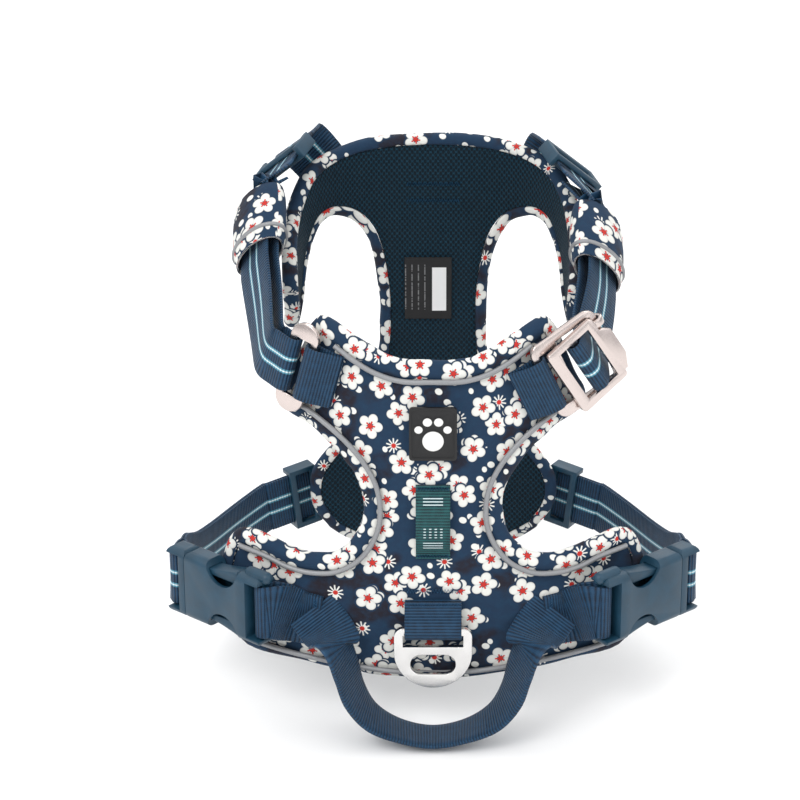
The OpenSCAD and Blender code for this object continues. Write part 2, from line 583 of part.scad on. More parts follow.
// The outer side of a prong rises so that it always clears the socket as the plug slides
function prong_y(u) = let (free = pivot_x - window_x - sqrt(window_r ^ 2 - (buckle_w / 2 - wall_y) ^ 2))
    prong_out + prong_rate * max(0, u - free) * u;
module prong(s) mirror([0, s < 0 ? 1 : 0, 0]) translate([pivot_x, 0, -3.9]) linear_extrude(7.8) {
    translate([0, pivot_y]) circle(1.5);
    polygon(concat([[0, pivot_y - 1.5], [0, prong_out], [-8, prong_out]],
        [for (u = [16:2:32]) [-u, prong_y(u)]],
        [[-33, prong_y(32) - 0.4], [-33.4, 13.8], [-33.2, 12.4], [-31.5, pivot_y - 1.5]]));
}
module mirrored() { mirror([1, 0, 0]) children(); }
module buckle_socket_right() color(slate) placed(buckle_frame) socket();
module buckle_plug_right() color(slate) placed(buckle_frame) plug();
module plug_prong_upper_right() color(slate) placed(buckle_frame) prong(1);
module plug_prong_lower_right() color(slate) placed(buckle_frame) prong(-1);
module buckle_socket_left() mirrored() buckle_socket_right();
module buckle_plug_left() mirrored() buckle_plug_right();
module plug_prong_upper_left() mirrored() plug_prong_upper_right();
module plug_prong_lower_left() mirrored() plug_prong_lower_right();

// ---------------------------------------------------------------- webbing on the back panel
// From its seam on the panel to the socket bar and back
module side_webbing_right() color(petrol) strap(concat(
    [for (p = [[37, 1.5, 2.4], [44, 3, 2.6]]) [skin(back, p.x, p.y, p.z), up]],
    [[[68.6, -70.6, 8], up]],
    bar_wrap(buckle_frame, socket_bar_x, 0, 62, -1),
    [[[70.4, -65.6, 8], up]],
    [for (p = [[44, 3, 1.1], [37, 1.5, 1.05]]) [skin(back, p.x, p.y, p.z), up]]));
module side_webbing_left() mirrored() side_webbing_right();

// Lift handle, hanging; it stands off the panel on edge
handle_left = [[[-41.5, -83, -3], [0.4, 0.91, 0]], [[-38, -83.3, -14], [0.36, 0.93, 0]],
    [[-34.5, -83.7, -26], [0.3, 0.95, 0]], [[-27, -84, -37], [0.15, 0.98, 0]],
    [[-14.5, -84, -44], [0.03, 1, -0.08]]];
module handle_strap() color(petrol) ribbon(concat(handle_left, [[[0, -84, -47], [0, 1, -0.1]]],
    [for (e = reversed(handle_left)) [flip(e[0]), flip(e[1])]]), 30, 23.5, 1.8);

// ---------------------------------------------------------------- belly straps
belly_t = 2.6;
belly_slider_at = [63.4, 71.3, 0.5];
belly_slider_dir = unit([0.86, -0.5, -0.13]);
belly_slider_frame = along_frame(belly_slider_at, belly_slider_dir, up);
module belly_strap_right() color(petrol) strap(concat(
    [for (p = [[158, 5.5, 1.8], [151, 4, 2.2]]) [skin(chest, p.x, p.y, panel_t + p.z), up]],
    run(belly_slider_frame, [-13, -9, 0, 17, 21], 0),
    [[[93.5, 43, -4], up], [[103.5, 22, -4], up], [[109.5, 5, -1.5], up], [[112.3, -6.5, 2.8], up],
     [[113.3, -13.2, 5.8], up]]), belly_t);
module belly_strap_left() mirrored() belly_strap_right();
plug_bar = in_frame(buckle_frame, [plug_bar_x, 0, 0]);
// Round the plug bar, over its outer side, with both ends turned to the dog
module belly_strap_loop_right() color(petrol) strap(concat(
    [[plug_bar + [0, 15.2, -1.5], up], [plug_bar + [1.2, 10.5, -0.5], up]],
    bar_wrap(buckle_frame, plug_bar_x, 0, 113, 1),
    [[plug_bar + [-2.9, 10.2, -0.5], up], [plug_bar + [-2.1, 14.7, -1.5], up]]));
module belly_strap_loop_left() mirrored() belly_strap_loop_right();
module belly_slider_right() color(petrol) placed(belly_slider_frame) slider(belly_t);
module belly_slider_left() mirrored() belly_slider_right();

back_cover();
back_padding();
back_lining();
back_edge_binding();
back_piping();
badge_patch();
light_loop();
leash_tab();
leash_plate();
side_webbing_left();
side_webbing_right();
handle_strap();
shoulder_tab_left();
shoulder_tab_right();
shoulder_ring();
shoulder_ring_strap_loop();
neck_buckle_receiver();
neck_buckle_hook_frame();
neck_buckle_strap_loop();
chest_cover();
chest_padding();
chest_lining();
chest_edge_binding();
care_label();
front_leash_tab();
front_leash_ring();
shoulder_strap_left();
shoulder_strap_right();
shoulder_strap_under_left();
shoulder_strap_under_right();
strap_sleeve_left();
strap_sleeve_right();
shoulder_slider_left();
shoulder_slider_right();
belly_strap_left();
belly_strap_right();
belly_strap_loop_left();
belly_strap_loop_right();
belly_slider_left();
belly_slider_right();
buckle_socket_left();
buckle_socket_right();
buckle_plug_left();
buckle_plug_right();
plug_prong_upper_left();
plug_prong_lower_left();
plug_prong_upper_right();
plug_prong_lower_right();
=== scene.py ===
"""A no pull dog harness: padded floral panels, webbing, satin metal and two side release buckles.

Metres in the scene. The shape helpers work in millimetres, as the harness was measured.
Z is up towards the dog's head, X is across the dog and the back panel is on the -Y side.
Angles t run round the trunk: 0 at the middle of the back panel, 90 at +X, 180 at the chest.
"""
from math import cos, degrees, floor, hypot, pi, radians, sin

import bpy
from bpy.props import FloatProperty, FloatVectorProperty, PointerProperty
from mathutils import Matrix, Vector


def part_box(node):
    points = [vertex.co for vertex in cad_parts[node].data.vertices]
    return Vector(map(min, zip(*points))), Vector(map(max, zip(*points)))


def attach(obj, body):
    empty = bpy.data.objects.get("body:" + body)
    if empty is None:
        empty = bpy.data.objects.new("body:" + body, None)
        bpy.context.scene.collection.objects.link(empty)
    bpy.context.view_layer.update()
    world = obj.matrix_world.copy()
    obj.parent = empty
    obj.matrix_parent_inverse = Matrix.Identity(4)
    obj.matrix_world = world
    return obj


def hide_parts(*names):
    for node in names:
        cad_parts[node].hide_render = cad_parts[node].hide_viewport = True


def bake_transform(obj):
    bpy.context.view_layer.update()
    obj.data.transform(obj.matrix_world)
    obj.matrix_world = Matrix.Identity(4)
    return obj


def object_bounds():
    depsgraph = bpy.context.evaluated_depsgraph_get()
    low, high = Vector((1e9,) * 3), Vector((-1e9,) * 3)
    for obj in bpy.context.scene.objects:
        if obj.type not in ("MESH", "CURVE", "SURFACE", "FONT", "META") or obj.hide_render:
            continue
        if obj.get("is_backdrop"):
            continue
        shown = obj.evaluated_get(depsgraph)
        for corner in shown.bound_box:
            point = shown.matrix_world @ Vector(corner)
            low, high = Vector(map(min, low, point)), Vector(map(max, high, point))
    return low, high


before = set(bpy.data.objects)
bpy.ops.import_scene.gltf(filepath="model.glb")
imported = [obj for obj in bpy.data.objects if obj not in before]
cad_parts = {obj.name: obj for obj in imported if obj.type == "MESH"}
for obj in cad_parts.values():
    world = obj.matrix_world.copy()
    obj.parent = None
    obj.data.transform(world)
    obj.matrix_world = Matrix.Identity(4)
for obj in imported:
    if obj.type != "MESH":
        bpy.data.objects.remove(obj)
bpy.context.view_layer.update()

MM = 0.001

bl_info = {
    "name": "No pull dog harness",
    "version": (1, 0, 0),
    "blender": (4, 5, 0),
    "location": "3D View > Sidebar > Harness",
    "description": "Builds a padded dog harness round its measured frame",
    "category": "Add Mesh",
}


# ------------------------------------------------------------------ sizes and colours
def length(name, description, default):
    return FloatProperty(name=name, description=description, default=default, min=0, unit="LENGTH")


def colour(name, description, default):
    return FloatVectorProperty(
        name=name, description=description, default=default, size=3, min=0, max=1, subtype="COLOR"
    )


class HARNESS_PG_webbing(bpy.types.PropertyGroup):
    """Sizes and colours of the woven straps"""

    width: length("Width", "Width of the webbing", 0.025)
    thickness: length("Thickness", "Thickness of one layer of webbing", 0.0013)
    rib: length("Rib", "Distance from one cross rib to the next", 0.00135)
    ground: colour("Webbing", "Colour of the webbing", (0.0045, 0.038, 0.088))
    # The groove colour is painted shade in the grooves between the ribs of the weave
    groove_shade: colour("Groove", "Colour in the grooves of the weave", (0.0008, 0.007, 0.020))
    stripe: colour("Stripe", "Colour of the bright stripes", (0.10, 0.33, 0.44))
    stripe_core: colour("Stripe core", "Colour of the thread inside a stripe", (0.74, 0.85, 0.88))
    loop: colour("Light loop", "Colour of the green loop", (0.008, 0.075, 0.078))


class HARNESS_PG_panels(bpy.types.PropertyGroup):
    """Sizes and colours of the padded panels"""

    blossom: length("Blossom", "Radius of a five petal blossom", 0.0058)
    crown: length("Crown", "How far the padding may stand proud", 0.0009)
    ground: colour("Cotton", "Ground of the printed cotton", (0.010, 0.030, 0.066))
    shade: colour("Cotton shade", "Darker patches of the print", (0.014, 0.012, 0.020))
    petal: colour("Petal", "Colour of the petals", (0.74, 0.74, 0.70))
    heart: colour("Heart", "Colour of the flower hearts", (0.50, 0.03, 0.022))
    mesh: colour("Air mesh", "Colour of the lining", (0.005, 0.038, 0.066))
    # The mesh hole colour is painted shade inside the holes of the lining
    shaded_hole: colour("Mesh hole", "Colour inside the holes of the lining", (0.001, 0.006, 0.012))
    piping: colour("Piping", "Colour of the reflective piping", (0.25, 0.255, 0.265))


class HARNESS_PG_fittings(bpy.types.PropertyGroup):
    """Sizes and colours of the metal, plastic and rubber fittings"""

    edge: length("Edge", "Rounding of the edges of the metal", 0.0005)
    metal: colour("Metal", "Colour of the satin metal", (0.66, 0.575, 0.545))
    plate: colour("Leash plate", "Colour of the polished leash plate", (0.74, 0.73, 0.72))
    plastic: colour("Plastic", "Colour of the moulded buckles", (0.007, 0.042, 0.076))
    rubber: colour("Rubber", "Colour of the badge", (0.004, 0.004, 0.005))
    print: colour("Print", "Colour of the raised badge print", (0.75, 0.75, 0.73))


# ------------------------------------------------------------------ curves
def mix(a, b, s):
    return a + (b - a) * s


def ease(s):
    c = max(0.0, min(1.0, s))
    return c * c * (3 - 2 * c)


def curve_at(points, s):
    """The place at s, from 0 to the last point's number, on a smooth line through the points"""
    n = len(points)
    i = max(0, min(int(floor(s)), n - 2))
    f = s - i
    b, c = points[i], points[i + 1]
    a = points[i - 1] if i else [2 * p - q for p, q in zip(b, c)]
    d = points[i + 2] if i + 2 < n else [2 * q - p for p, q in zip(b, c)]
    return [
        0.5 * (2 * q + (r - p) * f + (2 * p - 5 * q + 4 * r - s3) * f * f + (3 * q - p - 3 * r + s3) * f**3)
        for p, q, r, s3 in zip(a, b, c, d)
    ]


def along(points, u):
    return curve_at(points, (len(points) - 1) * u)


def between(pairs, x):
    """The value at x of a line through (x, value) pairs"""
    for (x0, y0), (x1, y1) in zip(pairs, pairs[1:]):
        if x <= x1:
            return mix(y0, y1, max(0.0, x - x0) / (x1 - x0))
    return pairs[-1][1]


# ------------------------------------------------------------------ the trunk's surface, mm
BACK, CHEST = 0, 1
GIRTH_HALF_W, GIRTH_HALF_D = 118, 72
NECK_HALF_D, NECK_HEIGHT = 66, 130
PANEL_T = 5.6
COVER_DEPTH = 4.4


def half_w(side, z):
    if side == BACK:
        return mix(GIRTH_HALF_W, 83, ease(z / NECK_HEIGHT))
    return mix(GIRTH_HALF_W, 60, ease(z / (NECK_HEIGHT - 5))) + max(0, z - NECK_HEIGHT + 5) * 0.1


def half_d(z):
    return mix(GIRTH_HALF_D, NECK_HALF_D, ease(z / NECK_HEIGHT))


def skin_and_normal(side, t, z):
    n = 2 if side == BACK else 2 + ease(z / (NECK_HEIGHT - 5))
    a, b, st, ct = half_w(side, z), half_d(z), sin(radians(t)), cos(radians(t))
    r = ((abs(st) / a) ** n + (abs(ct) / b) ** n) ** (-1 / n)
    x, y = r * st, -r * ct
    g = Vector((
        (1 if x > 0 else -1) * (abs(x) / a) ** (n - 1) / a,
            (1 if y > 0 else -1) * (abs(y) / b) ** (n - 1) / b, 0
    ))
    return Vector((x, y, z)), g.normalized()


def skin(side, t, z, off):
    p, n = skin_and_normal(side, t, z)
    return p + off * n


def skin_frame(side, t, z, off, spin):
    """(origin, x, y, normal) on the skin, turned by spin degrees"""
    n = skin_and_normal(side, t, z)[1]
    e = Vector((-n.y, n.x, 0))
    rise = skin(side, t, z + 2, 0) - skin(side, t, z - 2, 0)
    true_n = e.cross(rise).normalized()
    v = true_n.cross(e)
    c, s = cos(radians(spin)), sin(radians(spin))
    return skin(side, t, z, 0) + off * true_n, c * e + s * v, c * v - s * e, true_n


def in_frame(f, x, y, z):
    return f[0] + x * f[1] + y * f[2] + z * f[3]


def along_frame(origin, direction, hint):
    x = Vector(direction).normalized()
    z = x.cross(Vector(hint)).normalized()
    return Vector(origin), x, z.cross(x), z


# ------------------------------------------------------------------ panel outlines
# Half outlines as (t away from the middle, height, width of the edge band)
BACK_NECK = [(0, 116, 8.5), (11, 116, 8.5), (20, 118.5, 8.5), (28, 123, 8.5), (36, 129, 8)]
BACK_SIDE = [
    (41.5, 133.5, 7), (45, 125, 6), (48.5, 115, 6), (51.5, 106, 6), (52.5, 100, 7),
    (46, 98.5, 8), (38, 93, 8), (31, 86.5, 8), (25, 78.5, 8), (20.5, 69, 8), (18.5, 58, 8),
    (19.5, 46, 8), (24.5, 34, 8), (32, 26.5, 8), (40, 24.5, 8), (47, 25.5, 8), (53.5, 28.5, 7.5),
    (61, 30, 7), (63, 19, 7), (63, 6, 7), (61.5, -7, 6),
]
BACK_REAR = [(58, -14, 4.5), (49, -15.5, 4), (39, -17, 4), (28, -18.5, 4), (15, -20, 4), (0, -20.5, 4)]
CHEST_NECK = [
    (0, 179), (13, 178.5), (27, 176.5), (38, 173), (47, 168), (54, 161.5), (62, 154), (71, 146), (80, 138),
    (87, 131),
]
# The chest panel's side as (t away from the middle, height, height of that row at the middle)
CHEST_SIDE = [
    (87, 131, 179), (83, 122.5, 178), (77, 115, 177), (68, 124, 175), (60, 134, 173), (53, 143, 170.5),
    (46, 150.5, 168), (38, 152.5, 165), (29, 148.5, 160), (22.5, 138.5, 150), (19, 125, 134),
    (17, 108, 114), (16.5, 92, 95), (17, 77, 77.5), (19, 61, 60), (23, 46, 44), (28.5, 33, 29),
    (35.5, 22, 16), (39.5, 12, 4), (39.5, 0, -9), (35, -12, -25.5),
]
CHEST_BAND = 5


def turned(line, s):
    return [(s * p[0], *p[1:]) for p in line]


def across(line):
    return turned(line[::-1], -1) + list(line[1:])


BACK_MIDDLE = [(z,) for z in (
    116, 114.5, 113, 111, 108.5, 104.5, 99, 92, 83, 72, 58.5, 43, 28.5, 17.5, 10.5, 6, 2.5, -1.5,
    -6, -12.5, -20.5,
)]
NECK_ROW = [tuple(along(BACK_NECK + BACK_SIDE[:1], k / 40)) for k in range(41)]
REAR_ROW = [tuple(along(BACK_REAR[::-1] + BACK_SIDE[-1:], k / 40)) for k in range(41)]
NECK_HEIGHTS = [tuple(along(CHEST_NECK, k / 40)) for k in range(41)]


def in_row(row, w, k):
    return between([(p[0], p[k]) for p in row], w * row[-1][0])


def rise(row, w):
    return (in_row(row, w, 1) - row[0][1]) / (row[-1][1] - row[0][1])


def back_at(u, v):
    """(t, height, band) at u across and v down the back panel"""
    w = abs(2 * u - 1)
    t, z, band = along(BACK_SIDE, v)
    share = mix(rise(NECK_ROW, w), rise(REAR_ROW, w), v)
    own = mix(in_row(NECK_ROW, w, 2), in_row(REAR_ROW, w, 2), v)
    return [(2 * u - 1) * t, mix(along(BACK_MIDDLE, v)[0], z, share), mix(own, band, w**6)]


def chest_at(u, v):
    t, low, middle = along(CHEST_SIDE, v)
    w = 2 * u - 1
    drop = mix(CHEST_NECK[0][1] - middle, between(NECK_HEIGHTS, t) - low, abs(w) ** 3)
    return [180 + w * t, between(NECK_HEIGHTS, abs(w) * t) - drop, CHEST_BAND]


def panel_at(side, u, v):
    return back_at(u, v) if side == BACK else chest_at(u, v)


def girth_lengths(side):
    """(t, length along the girth from the panel's middle) pairs"""
    middle = 0 if side == BACK else 180
    pairs, total = [(0, 0.0)], 0.0
    for t in range(0, 100, 2):
        total += (skin(side, middle + t + 2, 60, 0) - skin(side, middle + t, 60, 0)).length
        pairs.append((t + 2, total))
    return pairs


GIRTHS = [girth_lengths(BACK), girth_lengths(CHEST)]


def flat_place(side, t, z):
    """Where a point of the panel lies on the cloth before sewing, mm"""
    t = t if side == BACK else t - 180
    s = between(GIRTHS[side], abs(t))
    return Vector((s if t > 0 else -s, z + (0 if side == BACK else 210)))


# ------------------------------------------------------------------ modelling
def only(*pieces):
    """Nothing is selected but these pieces, and the last one is active"""
    bpy.ops.object.select_all(action="DESELECT")
    for piece in pieces:
        piece.select_set(True)
        bpy.context.view_layer.objects.active = piece


def laid_grid(name, cells_u, cells_v, place):
    """A grid laid on a surface: place(u, v) gives a point and its flat place, both in mm"""
    only()
    bpy.ops.mesh.primitive_grid_add(x_subdivisions=cells_u, y_subdivisions=cells_v, size=2)
    piece = bpy.context.object
    piece.name = piece.data.name = name
    flat = []
    for vertex in piece.data.vertices:
        point, where = place((vertex.co.x + 1) / 2, (vertex.co.y + 1) / 2)
        vertex.co = Vector(point) * MM
        flat.append(Vector(where) * MM)
    uv = piece.data.uv_layers.active.data
    for loop in piece.data.loops:
        uv[loop.index].uv = flat[loop.vertex_index]
    return piece


def finish_with(piece, kind, **settings):
    """Adds a modifier, sets it and applies it"""
    only(piece)
    modifier = piece.modifiers.new(kind.title(), kind)
    for key, value in settings.items():
        setattr(modifier, key, value)
    bpy.ops.object.modifier_apply(modifier=modifier.name)
    return piece


def in_edit(piece, *steps):
    """Runs edit mode operators on the whole of a piece"""
    only(piece)
    bpy.ops.object.mode_set(mode="EDIT")
    bpy.ops.mesh.select_all(action="SELECT")
    for operator, settings in steps:
        operator(**settings)
    bpy.ops.object.mode_set(mode="OBJECT")
    return piece


def smooth(piece, angle=40):
    only(piece)
    bpy.ops.object.shade_smooth_by_angle(angle=radians(angle))
    return piece


def done(piece, look, body=None, replaces=()):
    """Gives a finished piece its material, its body and the parts of the frame it stands for"""
    piece.data.materials.clear()
    piece.data.materials.append(look)
    if body:
        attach(piece, body)
    if replaces:
        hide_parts(*replaces)
    return piece


def joined(name, pieces):
    only(*pieces)
    if len(pieces) > 1:
        bpy.ops.object.join()
    piece = bpy.context.object
    piece.name = piece.data.name = name
    return piece


def wire(name, paths, radius, closed=False, sides=3):
    """Round cord or thread along one or more lines of points in mm, as one mesh"""
    shape = bpy.data.curves.new(name, "CURVE")
    shape.dimensions = "3D"
    shape.bevel_depth = radius * MM
    shape.bevel_resolution = sides - 2
    shape.use_fill_caps = True
    for path in paths:
        spline = shape.splines.new("POLY")
        spline.points.add(len(path) - 1)
        for point, place in zip(spline.points, path):
            point.co = (*(Vector(place) * MM), 1)
        spline.use_cyclic_u = closed
    piece = bpy.data.objects.new(name, shape)
    bpy.context.scene.collection.objects.link(piece)
    only(piece)
    bpy.ops.object.convert(target="MESH")
    piece = bpy.context.object
    piece.name = piece.data.name = name
    return smooth(piece, 60)


def from_frame(name, nodes, edge, segments=2, merge=0.00002):
    """A copy of hard parts of the frame with its edges rounded over"""
    copies = []
    for node in nodes:
        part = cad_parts[node]
        copy = bpy.data.objects.new(name, part.data.copy())
        bpy.context.scene.collection.objects.link(copy)
        copies.append(copy)
    piece = joined(name, copies)
    in_edit(
        piece,
        (bpy.ops.mesh.remove_doubles, {"threshold": merge}),
        (bpy.ops.mesh.dissolve_limited, {"angle_limit": radians(0.6)}),
    )
    if edge:
        finish_with(
            piece, "BEVEL", width=edge, segments=segments, limit_method="ANGLE", angle_limit=radians(35),
            use_clamp_overlap=True,
        )
    return smooth(piece, 40)


# ------------------------------------------------------------------ straps
WEB_W, WEB_T = 25, 1.3
WRAP_R = 3.2


def in_path(f, points):
    return [(in_frame(f, x, 0, z), f[2]) for x, z in points]


def run(f, xs, z):
    return [(in_frame(f, x, 0, z), f[2]) for x in xs]


def half_turn(f, x, z, a, turn):
    """Points round a bar at x, z of a frame, their middle at angle a"""
    out = []
    for k in range(-90, 91, 30):
        angle = radians(a + turn * k)
        out.append((in_frame(f, x + WRAP_R * cos(angle), 0, z + WRAP_R * sin(angle)), f[2]))
    return out


def flip(v):
    return Vector((-v[0], v[1], v[2]))


def mirrored(path):
    return [(flip(p), flip(w)) for p, w in path]


def shifted(path, off):
    """The path moved sideways off its flat side"""
    out = []
    for i, (p, w) in enumerate(path):
        t = (Vector(path[min(i + 1, len(path) - 1)][0]) - Vector(path[max(i - 1, 0)][0])).normalized()
        out.append((Vector(p) + Vector(w).cross(t).normalized() * off, w))
    return out


def strap(name, path, width=WEB_W, thick=WEB_T, fine=5, ripple=0.0, eased=()):
    """Webbing along a path of (point, direction across), with its flat place kept for the weave.
    eased are the (first, last) path entries between which it takes the easiest bend"""
    points = [Vector(p) for p, w in path]
    wides = [Vector(w) for p, w in path]
    steps = fine * (len(path) - 1)
    rows, total = [], 0.0
    line = [Vector(along(points, k / steps)) for k in range(steps + 1)]
    turns = [Vector(along(wides, k / steps)) for k in range(steps + 1)]
    for first, last in eased:
        for _ in range(60):
            for values in (line, turns):
                free = range(first * fine + 1, last * fine)
                moved = [values[k] * 0.5 + (values[k - 1] + values[k + 1]) * 0.25 for k in free]
                for k, value in zip(free, moved):
                    values[k] = value
    for k, p in enumerate(line):
        w = turns[k]
        t = (line[min(k + 1, steps)] - line[max(k - 1, 0)]).normalized()
        side = (w - w.dot(t) * t).normalized()
        total += (p - line[k - 1]).length if k else 0
        rows.append((p, side, t.cross(side), total))

    half, flat_half, h = width / 2, width / 2 - 0.45, thick / 2
    face = [(flat_half * k / 3, h) for k in range(-3, 4)] + [(half - 0.12, 0.7 * h)]
    ring = face + [(half, 0), (half - 0.12, -0.7 * h)] + [(x, -y) for x, y in face[:7][::-1]]
    ring += [(0.12 - half, -0.7 * h), (-half, 0), (0.12 - half, 0.7 * h), face[0]]

    def place(u, v):
        p, side, normal, far = rows[round(v * steps)]
        x, lift = ring[round(u * (len(ring) - 1))]
        swell = ripple * sin(far * 0.21 + 1.3 * x / width)
        return p + side * x + normal * (lift + swell), (x, far)

    piece = laid_grid(name, len(ring) - 1, steps, place)
    in_edit(
        piece,
        (bpy.ops.mesh.remove_doubles, {"threshold": 0.00001}),
        (bpy.ops.mesh.fill_holes, {"sides": 0}),
        (bpy.ops.mesh.normals_make_consistent, {"inside": False}),
    )
    return smooth(piece, 50)


# ------------------------------------------------------------------ looks
class Value:
    """A node's output, so that sums on it are written as sums"""

    def __init__(self, look, socket):
        self.look, self.socket = look, socket

    def maths(self, operation, *values):
        return self.look.node("ShaderNodeMath", {"operation": operation}, list(values))

    def __add__(self, o): return self.maths("ADD", self, o)
    def __radd__(self, o): return self.maths("ADD", o, self)
    def __sub__(self, o): return self.maths("SUBTRACT", self, o)
    def __rsub__(self, o): return self.maths("SUBTRACT", o, self)
    def __mul__(self, o): return self.maths("MULTIPLY", self, o)
    def __rmul__(self, o): return self.maths("MULTIPLY", o, self)
    def __truediv__(self, o): return self.maths("DIVIDE", self, o)
    def __gt__(self, o): return self.maths("GREATER_THAN", self, o)
    def __lt__(self, o): return self.maths("LESS_THAN", self, o)
    def __mod__(self, o): return self.maths("FLOORED_MODULO", self, o)
    def __abs__(self): return self.maths("ABSOLUTE", self)


def wave(v): return v.maths("SINE", v)
def cosine(v): return v.maths("COSINE", v)
def whole(v): return v.maths("FLOOR", v)
def root(v): return v.maths("SQRT", v)
def larger(a, b): return a.maths("MAXIMUM", a, b)
def smaller(a, b): return a.maths("MINIMUM", a, b)


class Look:
    """A material with one shader, whose varying inputs are given as values"""

    def __init__(self, name, **constants):
        self.material = bpy.data.materials.new(name)
        self.material.use_nodes = True
        self.tree = self.material.node_tree
        self.shader = self.tree.nodes["Principled BSDF"]
        for key, value in constants.items():
            self.set(key.replace("_", " ").title().replace("Ior", "IOR"), value)

    def set(self, name, value):
        socket = self.shader.inputs[name]
        if isinstance(value, Value):
            self.tree.links.new(value.socket, socket)
        else:
            socket.default_value = (*value, 1) if hasattr(value, "__len__") and len(value) == 3 else value

    def node(self, kind, settings=None, inputs=(), output=0):
        made = self.tree.nodes.new(kind)
        for key, value in (settings or {}).items():
            setattr(made, key, value)
        pairs = inputs.items() if isinstance(inputs, dict) else enumerate(inputs)
        for key, value in pairs:
            socket = made.inputs[key]
            if isinstance(value, Value):
                self.tree.links.new(value.socket, socket)
            elif hasattr(value, "__len__") and len(value) == 3 and socket.type == "RGBA":
                socket.default_value = (*value, 1)
            else:
                socket.default_value = value
        return Value(self, made.outputs[output])

    def split(self, vector):
        return [self.node("ShaderNodeSeparateXYZ", {}, [vector], k) for k in range(3)]

    def vector(self, x, y, z=0.0):
        return self.node("ShaderNodeCombineXYZ", {}, [x, y, z])

    def flat(self):
        """x and y on the flat cloth, in mm"""
        uv = self.node("ShaderNodeTexCoord", {}, (), "UV")
        x, y, _ = self.split(uv)
        return x * 1000, y * 1000

    def place(self):
        """x, y and z of the place, in mm"""
        return [v * 1000 for v in self.split(self.node("ShaderNodeTexCoord", {}, (), "Object"))]

    def noise(self, vector, scale, detail=3.0, rough=0.55):
        return self.node(
            "ShaderNodeTexNoise", {},
                {"Vector": vector, "Scale": scale, "Detail": detail, "Roughness": rough}, 0
        )

    def step(self, value, low, high):
        """0 below low and 1 above high, or the other way round when low is more than high"""
        if low > high:
            return 1 - self.step(value, high, low)
        return self.node(
            "ShaderNodeMapRange", {"interpolation_type": "SMOOTHSTEP"},
                {0: value, 1: low, 2: high, 3: 0.0, 4: 1.0}
        )

    def blend(self, share, a, b):
        """Colour a where share is 0 and colour b where it is 1"""
        return self.node("ShaderNodeMix", {"data_type": "RGBA"}, {0: share, 6: a, 7: b}, 2)

    def bump(self, height, depth, strength=1.0):
        """depth is the height, in metres, that 1 stands for"""
        normal = self.node("ShaderNodeBump", {}, {"Strength": strength, "Distance": depth, "Height": height})
        self.set("Normal", normal)


def scatter(look, x, y, pitch, radius, seed, angle):
    """One spot in each cell of a turned grid: (dx, dy) from the spot, two chance values"""
    c, s = cos(angle), sin(angle)
    gx = (x * c - y * s) * (1 / pitch) + seed * 0.37
    gy = (x * s + y * c) * (1 / pitch) + seed * 0.71
    cx, cy = whole(gx), whole(gy)
    chance = look.node("ShaderNodeTexWhiteNoise", {"noise_dimensions": "3D"},
        {"Vector": look.vector(cx, cy, seed)}, 1)
    turn = look.node("ShaderNodeTexWhiteNoise", {"noise_dimensions": "3D"},
        {"Vector": look.vector(cy, cx, seed + 5)}, 0)
    rx, ry, keep = look.split(chance)
    room = 1 - 2 * radius / pitch
    dx = (gx - cx - 0.5 - (rx - 0.5) * room) * pitch
    dy = (gy - cy - 0.5 - (ry - 0.5) * room) * pitch
    return dx, dy, keep, turn


def folded(look, dx, dy, turn, petals):
    """Distance from the middle, and place along and beside the nearest petal's line"""
    far = root(dx * dx + dy * dy)
    angle = look.node("ShaderNodeMath", {"operation": "ARCTAN2"}, [dy, dx]) + turn * 6.2832
    fold = abs((angle * (petals / 6.28318)) % 1.0 - 0.5) * (6.28318 / petals)
    return far, far * cosine(fold), far * wave(fold)


